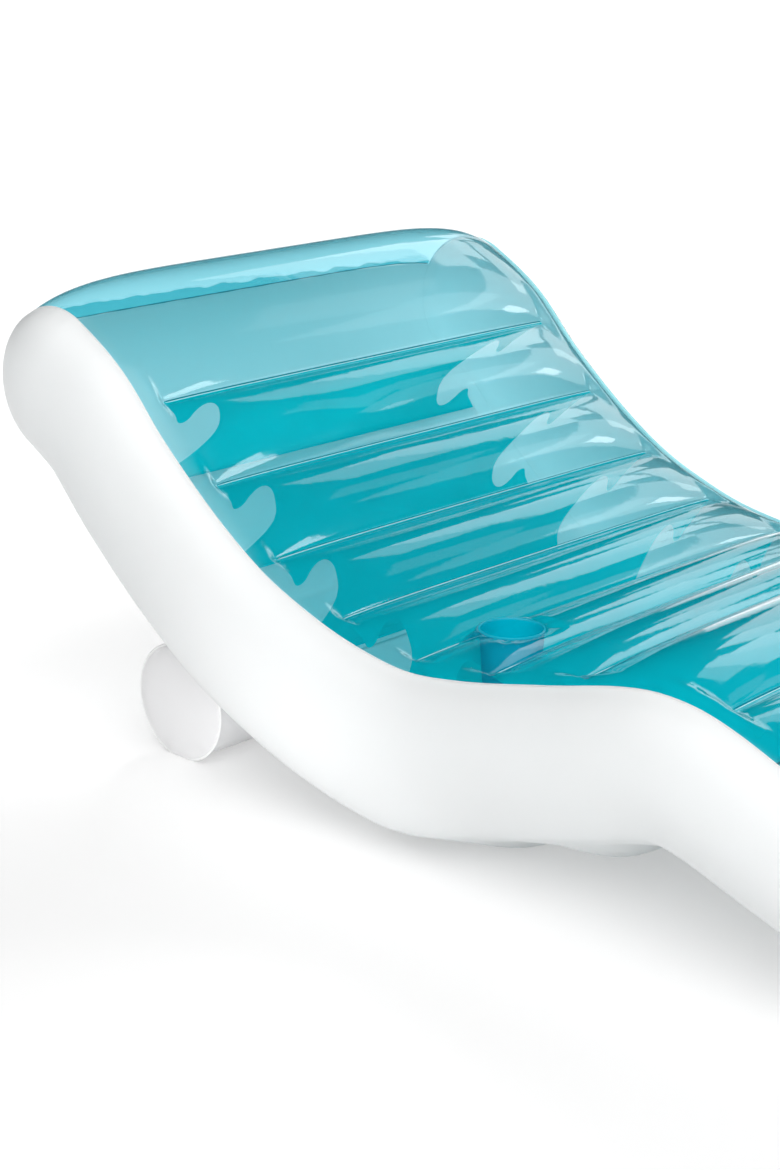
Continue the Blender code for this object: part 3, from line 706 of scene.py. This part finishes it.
def seamFlangeMesh(hand):
    rng = np.random.default_rng(60 + hand)
    phases = rng.uniform(0, 6.28, 6)
    w, t, b = seam["width"][hand], seam["thick"] / 2, seam["bead"] / 2
    lower = [(0, -t), (w - 2 * b, -t), (w - 1.6 * b, -b), (w - 0.6 * b, -b)]
    section = lower + [(w, 0)] + [(u, -v) for u, v in lower[::-1]]
    deckPath = [(row, True) for row in deckRows]
    path = deckPath + [(row, False) for row in baseRows][-2:0:-1]
    lengths = stepsAlong([row["seam"] for row, onDeck in path])
    points, kinds = [], []
    for n, ((row, onDeck), length) in enumerate(zip(path, lengths)):
        lean = seam["lean"] + 0.10 * sin(length * 21 + phases[0]) + 0.07 * sin(length * 47 + phases[1])
        across = np.array((hand * cos(lean), *(row["out"] * sin(lean))))
        over = np.array((-hand * sin(lean), *(row["out"] * cos(lean))))
        under = min(n - len(deckPath), len(path) - n) / 30
        size = 1 + 0.04 * sin(length * 33 + phases[2]) - (1 - seam["under"]) * float(ease(under))
        root = np.array((hand * (seamX + body["gap"] / 2), *row["seam"]))
        points += [root + across * u * size + over * v * size for u, v in section]
        # white film, but the deck's far seam is pale with a dense edge
        kinds += [1 if not onDeck or hand < 0 else 2 if 3 <= j <= 4 else 0 for j in range(len(section))]
    faces = sweptFaces(len(section), len(path), 0, True)
    if hand > 0:
        faces = [f[::-1] for f in faces]
    return points, faces, kinds


noseBand = {  # the inner lap of the seam across each nose, seen through the deck film
    "width": (0.030, 0.004),  # at the near and the far end
    "rag": 0.0025,
    "under": 0.0012,
    "line": 0.0008,
}


def noseBandMesh(s, forward, seed):
    rng = np.random.default_rng(seed)
    columns = np.linspace(-1, 1, 121) * (seamX - 0.004)
    waves = [(rng.uniform(20, 260), rng.uniform(0, 6.28), rng.uniform(0.1, 0.5)) for n in range(9)]
    rag = noseBand["rag"] * sum(a * np.sin(columns * f + p) for f, p, a in waves)
    reach = depthAt(onSpine(s)[0][0]) / 2 + body["tipPuff"]
    puff = body["headPuff" if forward < 0 else "footPuff"]
    points = []
    width = np.interp(columns, (-seamX, seamX), noseBand["width"])
    for k in range(7):
        lay = (width + rag * (k / 6) ** 2) * k / 6
        for n, x in enumerate(columns):
            angle = lay[n] / reach
            row = noseRow(s, forward, 1, angle, 0)
            tip = endSwell(min(angle / (pi / 2) * 0.4, 1), body["tipPuff"], puff)
            height = tip * fallAt(x) - noseBand["under"] + 0.0005 * sin(x * 90 + k)
            points.append((x, *(row["at"] + row["out"] * height)))
    faces = gridFaces(len(columns), 7)
    start = len(points)
    row = noseRow(s, forward, 1, 0.0, 0)
    for x in columns:  # the weld line at the tip
        centre = row["at"] + row["out"] * (body["tipPuff"] * fallAt(x) + 0.0002)
        points += beadRing(x, centre, row, noseBand["line"], noseBand["line"] * 0.7, 6)
    line = sweptFaces(6, len(columns), start)
    return points, faces + line, [0] * len(faces) + [1] * len(line)


def turnedPoints(profile, sides, turn=0.0):  # a lathe about Z
    points, faces, rings = [], [], []
    for radius, z in profile:
        steps = 1 if radius == 0 else sides
        rings.append(range(len(points), len(points) + steps))
        angles = [turn + 2 * pi * k / sides for k in range(steps)]
        points += [(radius * cos(a), radius * sin(a), z) for a in angles]
    for low, high in zip(rings, rings[1:]):
        for k in range(sides):
            m = (k + 1) % sides
            if len(low) == 1:
                faces.append((low[0], high[m], high[k]))
            elif len(high) == 1:
                faces.append((low[k], low[m], high[0]))
            else:
                faces.append((low[k], low[m], high[m], high[k]))
    return points, faces


# Materials

def addNode(tree, kind, values):
    # adds one shader node: each value is a setting, an input's number or colour, or the node or socket that feeds it
    made = tree.nodes.new("ShaderNode" + kind)
    for name, value in values.items():
        if isinstance(value, bpy.types.Node):
            value = value.outputs[0]
        if isinstance(value, bpy.types.NodeSocket):
            tree.links.new(value, made.inputs[name])
        elif isinstance(name, int) or name in made.inputs:
            made.inputs[name].default_value = value
        else:
            setattr(made, name, value)
    return made


def newMaterial(name):
    made = bpy.data.materials.new(name)
    made.use_nodes = True
    made.node_tree.nodes.clear()
    return made, made.node_tree


white = (1, 1, 1, 1)
clearFilm = {  # what the clear films and mouldings share, unless they say otherwise
    "ior": 1.50,  # soft PVC is about 1.5
    "rough": 0.16,
    "relief": 0.30,  # strength of the surface's relief
    "lineShare": 0.0,  # how much tension lines add to it
    "glowShare": 0.5,  # share of the haze that glows with light from behind
    "halo": 0.28,  # share of the mirror image that spreads
    "shine": 1.0,  # of the mirror image face on, and edge on
    "edgeShine": 1.0,
}


def clearFilmMaterial(name, finish):
    # clear PVC film, calendered: tinted light passes, both faces mirror sharply, a little pigment haze stays in it
    values = {**clearFilm, **finish}
    made, tree = newMaterial(name)
    place = addNode(tree, "TexCoord", {}).outputs["Object"]
    # tension lines run across the film: some 9 mm apart and 90 mm long, a few tenths of a millimetre high
    pulled = addNode(tree, "Mapping", {"Scale": (1 / 0.090, 1 / 0.009, 1 / 0.009), "Vector": place})
    lines = addNode(tree, "TexNoise", {"Scale": 1.0, "Detail": 3.0, "Roughness": 0.5, "Vector": pulled})
    # handling marks some 40 mm across
    marks = addNode(tree, "TexNoise", {"Scale": 1 / 0.040, "Detail": 4.0, "Roughness": 0.45, "Vector": place})
    # grain of the calender rolls: real grain is 0.3 mm, drawn 3 mm so that it shows
    grain = addNode(tree, "TexNoise", {"Scale": 1 / 0.003, "Detail": 1.0, "Vector": place})
    drawn = addNode(tree, "Math", {"operation": "MULTIPLY_ADD", 0: lines, 1: values["lineShare"], 2: marks})
    height = addNode(tree, "Math", {"operation": "MULTIPLY_ADD", 0: grain, 1: 0.035, 2: drawn})
    bump = addNode(tree, "Bump", {"Strength": values["relief"], "Distance": 0.002, "Height": height})
    # the way through the film is longer where it is seen edge on, so its tint is deeper there
    facing = addNode(tree, "LayerWeight", {"Blend": 0.5, "Normal": bump}).outputs["Facing"]
    slant = addNode(tree, "Math", {"operation": "POWER", 0: facing, 1: 3.0})
    tint = {"Color1": linear(values["pass"]), "Color2": linear(values["passEdge"]), "Fac": slant}
    through = addNode(tree, "BsdfTransparent", {"Color": addNode(tree, "MixRGB", tint)})
    haze = addNode(tree, "BsdfDiffuse", {"Color": linear(values["haze"])})
    glow = addNode(tree, "BsdfTranslucent", {"Color": linear(values["haze"])})
    pigment = addNode(tree, "MixShader", {0: values["glowShare"], 1: haze, 2: glow})
    # the pigment is a little uneven, in clouds some 150 mm across
    cloud = addNode(tree, "TexNoise", {"Scale": 1 / 0.150, "Detail": 2.0, "Vector": place})
    share = values["hazeShare"]
    hazy = addNode(tree, "MapRange", {"To Min": share * 0.8, "To Max": min(share * 1.2, 1), "Value": cloud})
    film = addNode(tree, "MixShader", {0: hazy, 1: through, 2: pigment})
    # the rolls leave a fine grain, so part of the mirror image spreads in a soft halo
    sharp = addNode(tree, "BsdfGlossy", {"Color": white, "Roughness": values["rough"], "Normal": bump})
    halo = addNode(tree, "BsdfGlossy", {"Color": white, "Roughness": 0.26, "Normal": bump})
    gloss = addNode(tree, "MixShader", {0: values["halo"], 1: sharp, 2: halo})
    # a film mirrors on both faces: about twice its IOR's share face on, all of it edge on
    edgeOn = addNode(tree, "Math", {"operation": "POWER", 0: facing, 1: 4.4})
    faceOn = 2 * ((values["ior"] - 1) / (values["ior"] + 1)) ** 2 * values["shine"]
    mirror = addNode(tree, "MapRange", {"To Min": faceOn, "To Max": values["edgeShine"], "Value": edgeOn})
    surface = addNode(tree, "MixShader", {0: mirror, 1: film, 2: gloss})
    addNode(tree, "OutputMaterial", {"Surface": surface})
    return made


def whiteFilmMaterial(name, values):
    # white PVC film, calendered: pigment hides what is inside, soft sheen, a little light comes through
    made, tree = newMaterial(name)
    place = addNode(tree, "TexCoord", {}).outputs["Object"]
    # soft creases some 50 mm across, and a grain of 3 mm that is drawn coarser than the rolls' own so that it shows
    crease = addNode(tree, "TexNoise", {"Scale": 1 / 0.050, "Detail": 3.0, "Roughness": 0.45, "Vector": place})
    grain = addNode(tree, "TexNoise", {"Scale": 1 / 0.003, "Detail": 2.0, "Vector": place})
    height = addNode(tree, "Math", {"operation": "MULTIPLY_ADD", 0: grain, 1: 0.03, 2: crease})
    bump = addNode(tree, "Bump", {"Strength": 0.22, "Distance": 0.002, "Height": height})
    # shade and sheen change a little, in patches some 300 mm across
    patch = addNode(tree, "TexNoise", {"Scale": 1 / 0.30, "Detail": 3.0, "Vector": place})
    low, high = values["rough"]
    rough = addNode(tree, "MapRange", {"To Min": low, "To Max": high, "Value": patch})
    shade = {"Color1": linear(values["colour"]), "Color2": linear(values["colourDeep"]), "Fac": patch}
    shade = addNode(tree, "MixRGB", shade)
    shader = addNode(tree, "BsdfPrincipled", {"IOR": 1.5, "Base Color": shade, "Roughness": rough, "Normal": bump})
    glow = addNode(tree, "BsdfTranslucent", {"Color": linear(values["colour"])})
    surface = addNode(tree, "MixShader", {0: values["glowShare"], 1: shader, 2: glow})
    addNode(tree, "OutputMaterial", {"Surface": surface})
    return made


tealFilm = {
    "pass": "#c9f2f9", "passEdge": "#98d2dc", "haze": "#3fc9da", "hazeShare": 0.05,
    "rough": 0.05, "relief": 0.12, "lineShare": 0.20, "halo": 0.07,
}
# the webs' haze is raised close to full cyan, brighter than the film's own pigment: painted light for the light that
# the closed chambers keep out
webFilm = {
    "pass": "#00d6de", "passEdge": "#00c2cb", "haze": "#00eff3", "hazeShare": 0.88,
    "rough": 0.22, "ior": 1.45, "shine": 0.08, "edgeShine": 0.08,
}
denseFilm = {
    "pass": "#4fc3d3", "passEdge": "#38b2c4", "haze": "#1097a9", "hazeShare": 0.80,
    "glowShare": 0.1, "shine": 0.25, "edgeShine": 0.15,
}
# painted highlight: the pale bead is near white to stand in for the light that a weld's edge catches
paleBeadAndHighlightFilm = {
    "pass": "#e3fcff", "passEdge": "#d2f8fd", "haze": "#c0faff", "hazeShare": 0.95,
    "glowShare": 0.0, "shine": 0.3, "edgeShine": 0.2,
}
lapFilm = {
    "pass": "#8edbe1", "passEdge": "#66cad3", "haze": "#30b5c1", "hazeShare": 0.12,
    "rough": 0.12, "lineShare": 0.35, "shine": 0.2, "edgeShine": 0.2,
}
cupVinyl = {
    "pass": "#8ce4ee", "passEdge": "#76d8e4", "haze": "#00d4e4", "hazeShare": 0.62,
    "rough": 0.07, "glowShare": 0.3, "shine": 0.04, "edgeShine": 0.02,
}
lipVinyl = {
    "pass": "#a6eef6", "passEdge": "#8ae4ee", "haze": "#30dcec", "hazeShare": 0.40,
    "rough": 0.04, "glowShare": 0.2, "shine": 0.6, "edgeShine": 0.1,
}
valveVinyl = {"pass": "#e4ecee", "passEdge": "#d4dfe3", "haze": "#dfe8ea", "hazeShare": 0.55, "rough": 0.13}
whiteFilm = {"colour": "#f3f3f3", "colourDeep": "#eff0f0", "rough": (0.30, 0.42), "glowShare": 0.05}
# painted shade: the roll's white is greyer than the walls' white, for the roll that lies under the backrest
rollShadedFilm = {**whiteFilm, "colour": "#e6e6e7", "colourDeep": "#e2e2e3"}

deckFinish = clearFilmMaterial("calendered clear teal PVC film", tealFilm)
webFinish = clearFilmMaterial("calendered deep teal PVC film", webFilm)
# pressed thin, film piles up dense at a weld's edge; the pale bead of squeezed out film is coloured near white as a
# painted highlight along the weld's edge
denseFinish = clearFilmMaterial("welded edge of teal PVC film", denseFilm)
paleBeadAndHighlightFinish = clearFilmMaterial("welded bead of clear PVC film", paleBeadAndHighlightFilm)
lapFinish = clearFilmMaterial("lapped clear teal PVC film", lapFilm)
cupFinish = clearFilmMaterial("moulded clear blue PVC", cupVinyl)
lipFinish = clearFilmMaterial("polished lip of clear blue PVC", lipVinyl)
valveFinish = clearFilmMaterial("moulded clear white PVC", valveVinyl)
whiteFinish = whiteFilmMaterial("calendered white PVC film", whiteFilm)
# the roll's film is coloured a touch greyer than the walls, painted shade for the roll that lies under the backrest
rollShadedFinish = whiteFilmMaterial("calendered white PVC film with painted shade", rollShadedFilm)
print("materials made")

# Pieces

points, faces = deckMesh()
addPiece("deckFilm", points, faces, deckFinish, ["deck_film"], slot="teal_film")
print("deck film:", len(faces), "faces")

columns = acrossColumns()
points = filmPoints(baseRows, columns, baseSwell).reshape(-1, 3)
faces = gridFaces(len(columns), len(baseRows))
addPiece("baseFilm", points, faces, whiteFinish, ["base_film"], slot="white_film")
for name, hand, node in (("wallNear", -1, "side_wall_near"), ("wallFar", 1, "side_wall_far")):
    addPiece(name, *wallMesh(hand), whiteFinish, [node], slot="white_film")
print("base and side walls made")

for index in range(body["webCount"]):
    number = f"{index + 1:02d}"
    addPiece("web" + number, *webMesh(index), webFinish, ["diaphragm_" + number], slot="web_film")
print("webs made")

points, faces, kinds = weldLineMesh()
addPiece("weldLines", points, faces, [denseFinish, paleBeadAndHighlightFinish], slot="teal_film", kinds=kinds)
for name, hand in (("seamFlangeNear", -1), ("seamFlangeFar", 1)):
    points, faces, kinds = seamFlangeMesh(hand)
    addPiece(name, points, faces, [paleBeadAndHighlightFinish, whiteFinish, denseFinish], slot="white_film", kinds=kinds)
for name, s, forward, seed in (("noseLapHead", 0.0, -1, 71), ("noseLapFoot", spineLength, 1, 72)):
    points, faces, kinds = noseBandMesh(s, forward, seed)
    addPiece(name, points, faces, [lapFinish, denseFinish], slot="teal_film", kinds=kinds)
print("weld lines and seams made")


def cupMesh():
    # the outside and then the inside, each from the middle of the floor or back to it, with a raised lip between
    thick, lip, corner = cup["wall"], 0.0009, 0.007
    mouth, foot, depth, flange = cup["mouth"], cup["foot"], cup["depth"], cup["flange"]
    bends = (0.5, 0.9, 1.3)
    outer = [(r, -depth - thick) for r in (0, foot * 0.5, foot - corner)]
    outer += [(foot - corner + corner * sin(a), -depth - thick + corner * (1 - cos(a))) for a in bends]
    outer += [(foot + thick + (mouth - foot) * k / 8, -depth + 0.009 + (depth - 0.012) * k / 8) for k in range(9)]
    outer += [(mouth + thick + 0.0006, -0.0010), (flange - lip, 0.0), (flange, 0.0006), (flange - 0.0006, thick)]
    rise = ((0.0026, 0), (0.0018, 0.0014), (0.0006, 0.0018), (-0.0004, 0.0010))
    inner = [(mouth + out, thick + up) for out, up in rise] + [(mouth, -0.001)]
    inner += [(foot + (mouth - foot) * k / 8, -depth + 0.008 + (depth - 0.011) * k / 8) for k in range(8, -1, -1)]
    inner += [(foot - corner + 0.006 * sin(a), -depth + 0.006 * (1 - cos(a))) for a in bends[::-1]]
    inner += [(r, -depth) for r in (foot - 0.008, foot * 0.5, 0)]
    points, faces = turnedPoints(outer + inner, cup["sides"])
    kinds = [int(len(outer) - 2 <= n // cup["sides"] <= len(outer) + 3) for n in range(len(faces))]  # 1 is the lip
    return [np.array(p) + cupAt + (0, 0, body["gap"]) for p in points], faces, kinds


points, faces, kinds = cupMesh()
addPiece("cupHolder", points, faces, [cupFinish, lipFinish], ["cup_holder"], slot="cup_vinyl", kinds=kinds)
print("cup holder made")

# The roll that props the backrest, and the strip that it hangs by

rollHalf = seamX - roll["margin"]


def rollPlace(points, hand=1):  # from a lathe about Z to the roll's axis along X
    return [(hand * p[2], rollAt[0] + p[0], rollAt[1] + p[1]) for p in points]


def rollDents(seed, points, away, count, width, reach):  # depth of the creases that run in from its seams
    made = creases(seed, [(0, 2 * pi * rollRadius)], count, (0.0004, 0.0012), width, reach)
    around = (np.arctan2(points[:, 1], points[:, 0]) % (2 * pi)) * rollRadius
    return creaseDepth(made, around, away)


def rollTubeMesh():
    edge = [1 - v for v in (0.0, 0.004, 0.009, 0.015, 0.022, 0.03, 0.04, 0.052, 0.066, 0.082, 0.1)]
    lays = sorted([-v for v in edge] + list(np.linspace(-0.88, 0.88, 41)) + edge)
    line = [(rollRadius, v * (rollHalf - 0.0008)) for v in lays]
    points, faces = turnedPoints(line, roll["sides"], pi / roll["sides"])
    points = np.array(points)
    dent = rollDents(31, points, rollHalf - np.abs(points[:, 2]), 34, (0.004, 0.008), (0.012, 0.04))
    points[:, :2] *= ((rollRadius - dent) / rollRadius)[:, None]
    return rollPlace(points), faces


def rollEndMesh(hand):
    angles = [pi / 2 * (k / 24) ** 0.8 for k in range(25)]
    dome = [(rollRadius * sin(a), rollHalf + roll["dome"] * cos(a)) for a in angles]
    points, faces = turnedPoints(dome, roll["sides"], pi / roll["sides"])
    points = np.array(points)
    away = rollRadius - np.hypot(points[:, 0], points[:, 1])
    points[:, 2] -= rollDents(33 + hand, points, away, 46, (0.003, 0.006), (0.008, 0.020))
    return rollPlace(points, hand), faces


def rollRingMesh(hand, around=144, sides=8):  # the weld flange round each end
    points = []
    for k in range(around):
        angle = 2 * pi * k / around
        for n in range(sides):
            turn = 2 * pi * n / sides
            radius = rollRadius + roll["ring"] + roll["ringHigh"] * cos(turn)
            y, z = rollAt + np.array((cos(angle), sin(angle))) * radius
            points.append((hand * (rollHalf - 0.0005 + roll["ring"] * sin(turn)), y, max(z, 0.0)))
    faces = sweptFaces(sides, around, 0, True)
    return points, [f[::-1] for f in faces] if hand > 0 else faces


def rollStripMesh():
    weld = bodyRow(weldS(roll["web"] - 1, -1), -1)
    toRoll = rollAt - weld["at"]
    reach = toRoll / np.linalg.norm(toRoll)
    start, end = weld["at"] + weld["out"] * 0.0006, rollAt - reach * (rollRadius + 0.0006)
    across = np.array((-reach[1], reach[0]))
    xs = np.linspace(-1, 1, 121) * (rollHalf - 0.004)
    line = [(start - weld["out"] * 0.0001 + rowAlong(weld) * lay, 0) for lay in (-0.009, -0.004)]
    line += [(start + (end - start) * t, sin(pi * t)) for t in np.linspace(0, 1, 9)]
    for lay in (0.05, 0.10, 0.15):  # a flap of it lies on the tube
        angle = atan2(-reach[1], -reach[0]) + lay
        line.append((rollAt + np.array((cos(angle), sin(angle))) * (rollRadius + 0.0007), 0))
    points = []
    for p, slack in line:
        for x in xs:
            wave = slack * (0.0012 * sin(x * 31) + 0.0008 * sin(x * 73 + 1))
            points.append((x, *(p + across * wave)))
    return points, gridFaces(len(xs), len(line))


addPiece("rollTube", *rollTubeMesh(), rollShadedFinish, ["roll_tube"], slot="white_film")
for name, hand in (("Near", -1), ("Far", 1)):
    addPiece("rollEnd" + name, *rollEndMesh(hand), rollShadedFinish, ["roll_end_" + name.lower()], slot="white_film")
for name, hand in (("Near", -1), ("Far", 1)):
    addPiece("rollRing" + name, *rollRingMesh(hand), whiteFinish, slot="white_film")
addPiece("rollStrip", *rollStripMesh(), rollShadedFinish, ["roll_weld_strip"], slot="white_film")
for name in ("body", "roll"):
    for part in ("stem", "plug", "flap"):
        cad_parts[f"{name}_valve_{part}"].data.materials[0] = valveFinish
print("roll and valves made")

# Floor, lamps and world

stage = {
    "floor": "#f6f6f6",
    "floorSize": 60.0,
    "floorDrop": 0.0006,
    "floorLift": 0.36,  # share of plain white that the camera sees near the object
    "floorFade": (1.1, 1.9),  # it grows to all of it between these distances
    "floorWhite": 1.2,
    "worldDark": 0.0,  # the dark end of the studio, beyond the chair
    "worldBright": 0.95,  # its white end, behind the camera
    "worldAxis": (-0.70, -0.58, 0.36),
    "worldFrom": 0.25,
    "worldTo": 0.75,
    "worldFoot": 0.62,  # the foot of its white backdrop, between these two heights
    "worldFootHeights": (0.02, 0.12),
    "aim": (0, 0.2, 0.3),  # where a lamp looks unless it says otherwise
    "lamps": {  # mirrored says whether a lamp shows in reflections
        "softboxCeiling": {"place": (-1.6, -1.5, 3.0), "aim": (0, 0.1, 0.3),
            "size": (3.8, 3.6), "power": 88.0, "mirrored": False,
        },
        "softboxKey": {"place": (2.6, 2.0, 2.2), "aim": (0, 0.1, 0.2),
            "size": (1.4, 1.4), "power": 92.0, "mirrored": False,
        },
        "gridRoll": {"place": (-1.75, -1.25, 0.15), "aim": (-0.37, 0.54, 0.07),
            "size": (0.2, 0.2), "power": 0.14, "mirrored": False, "spread": 12,
        },
        "windowTop": {"place": (5.92, 2.53, 6.66), "size": (2.11, 0.94), "power": 5.9},
        "windowHigh": {"place": (6.63, 2.42, 5.96), "size": (2.81, 0.94), "power": 14.1},
        "windowMiddle": {"place": (7.08, 2.81, 5.2), "size": (1.65, 0.94), "power": 9.3},
        "windowLow": {"place": (7.07, 4.12, 4.25), "size": (1.13, 1.26), "power": 6.5},
        "stripLow": {"place": (7.33, 4.87, 2.63), "size": (0.76, 2.20), "power": 5.2},
        "stripFloor": {"place": (7.28, 5.49, -0.01), "size": (0.94, 3.14), "power": 6.5},
        "panelHeadHigh": {"place": (6.15, -0.56, 6.83), "size": (1.51, 1.10), "power": 2.0},
        "panelHeadLow": {"place": (6.7, -1.98, 5.9), "size": (1.97, 1.41), "power": 5.2},
        "panelFarLow": {"place": (8.12, 1.85, 3.82), "size": (3.33, 1.88), "power": 29.5},
        "panelFar": {"place": (7.83, -0.9, 4.59), "size": (4.14, 2.67), "power": 43.4},
        "spotFar": {"place": (2.6, -0.35, 1.75), "aim": (0.37, 0.55, 0.45), "size": (0.26, 0.26), "power": 0.8},
        "spotFoot": {"place": (1.15, -1.42, 1.58), "aim": (-0.22, 0.54, 0.43), "size": (0.55, 0.55), "power": 3.6},
    },
}


def addFloor():
    half = stage["floorSize"]
    mesh = bpy.data.meshes.new("studioFloor")
    mesh.from_pydata([(-half, -half, 0), (half, -half, 0), (half, half, 0), (-half, half, 0)], [], [(0, 1, 2, 3)])
    made = addObject("studioFloor", mesh)
    made.location.z = -stage["floorDrop"]
    finish, tree = newMaterial("matt white studio floor")
    path = addNode(tree, "LightPath", {})
    lit = addNode(tree, "BsdfDiffuse", {"Color": linear(stage["floor"])})
    shine = addNode(tree, "Emission", {"Color": white, "Strength": stage["floorWhite"]})
    place = addNode(tree, "TexCoord", {}).outputs["Object"]
    far = addNode(tree, "VectorMath", {"operation": "LENGTH", 0: place}).outputs["Value"]
    near, off = stage["floorFade"]
    fade = {"From Min": near, "From Max": off, "To Min": stage["floorLift"], "To Max": 1.0, "Value": far}
    fade = addNode(tree, "MapRange", fade)
    rays = {0: path.outputs["Is Camera Ray"], 1: path.outputs["Is Glossy Ray"]}
    direct = addNode(tree, "Math", {"operation": "MAXIMUM", **rays})
    seen = addNode(tree, "Math", {"operation": "MULTIPLY", 0: fade, 1: direct})
    surface = addNode(tree, "MixShader", {0: seen, 1: lit, 2: shine})
    addNode(tree, "OutputMaterial", {"Surface": surface})
    mesh.materials.append(finish)


def addWorld():
    world = bpy.data.worlds.new("whiteStudio")
    bpy.context.scene.world = world
    world.use_nodes = True
    tree = world.node_tree
    tree.nodes.clear()
    path = addNode(tree, "LightPath", {})
    way = addNode(tree, "TexCoord", {}).outputs["Generated"]
    side = addNode(tree, "VectorMath", {"operation": "DOT_PRODUCT", 0: way, 1: stage["worldAxis"]}).outputs["Value"]
    level = addNode(tree, "MapRange", {
        "interpolation_type": "SMOOTHSTEP", "From Min": stage["worldFrom"], "From Max": stage["worldTo"],
        "To Min": stage["worldDark"], "To Max": stage["worldBright"], "Value": side,
    })
    # the foot of the white backdrop shows in grazing reflections
    rise = addNode(tree, "SeparateXYZ", {0: way}).outputs["Z"]
    low, high = stage["worldFootHeights"]
    foot = {"From Min": low, "From Max": high, "To Min": stage["worldFoot"], "To Max": 0.0, "Value": rise}
    foot = addNode(tree, "MapRange", foot)
    mirrored = addNode(tree, "Math", {"operation": "MULTIPLY", 0: foot, 1: path.outputs["Is Glossy Ray"]})
    both = addNode(tree, "Math", {"operation": "MAXIMUM", 0: level, 1: mirrored})
    soft = addNode(tree, "Background", {"Color": white, "Strength": both})
    seen = addNode(tree, "Background", {"Color": white, "Strength": 1.0})
    surface = addNode(tree, "MixShader", {0: path.outputs["Is Camera Ray"], 1: soft, 2: seen})
    addNode(tree, "OutputWorld", {"Surface": surface})


def addLamp(name, values):
    made = addObject(name, bpy.data.lights.new(name, "AREA"))
    made.data.shape = "RECTANGLE"
    made.data.size, made.data.size_y = values["size"]
    made.data.energy = values["power"]
    made.data.spread = radians(values.get("spread", 180))
    made.location = values["place"]
    made.visible_camera = False
    made.visible_glossy = values.get("mirrored", True)
    lookAlong(made, Vector(values.get("aim", stage["aim"])) - Vector(values["place"]))


addFloor()
addWorld()
for name, values in stage["lamps"].items():
    addLamp(name, values)
scene = bpy.context.scene
scene.view_settings.view_transform = "Standard"
scene.cycles.transparent_max_bounces = 32
scene.cycles.max_bounces = 12
print("stage made")
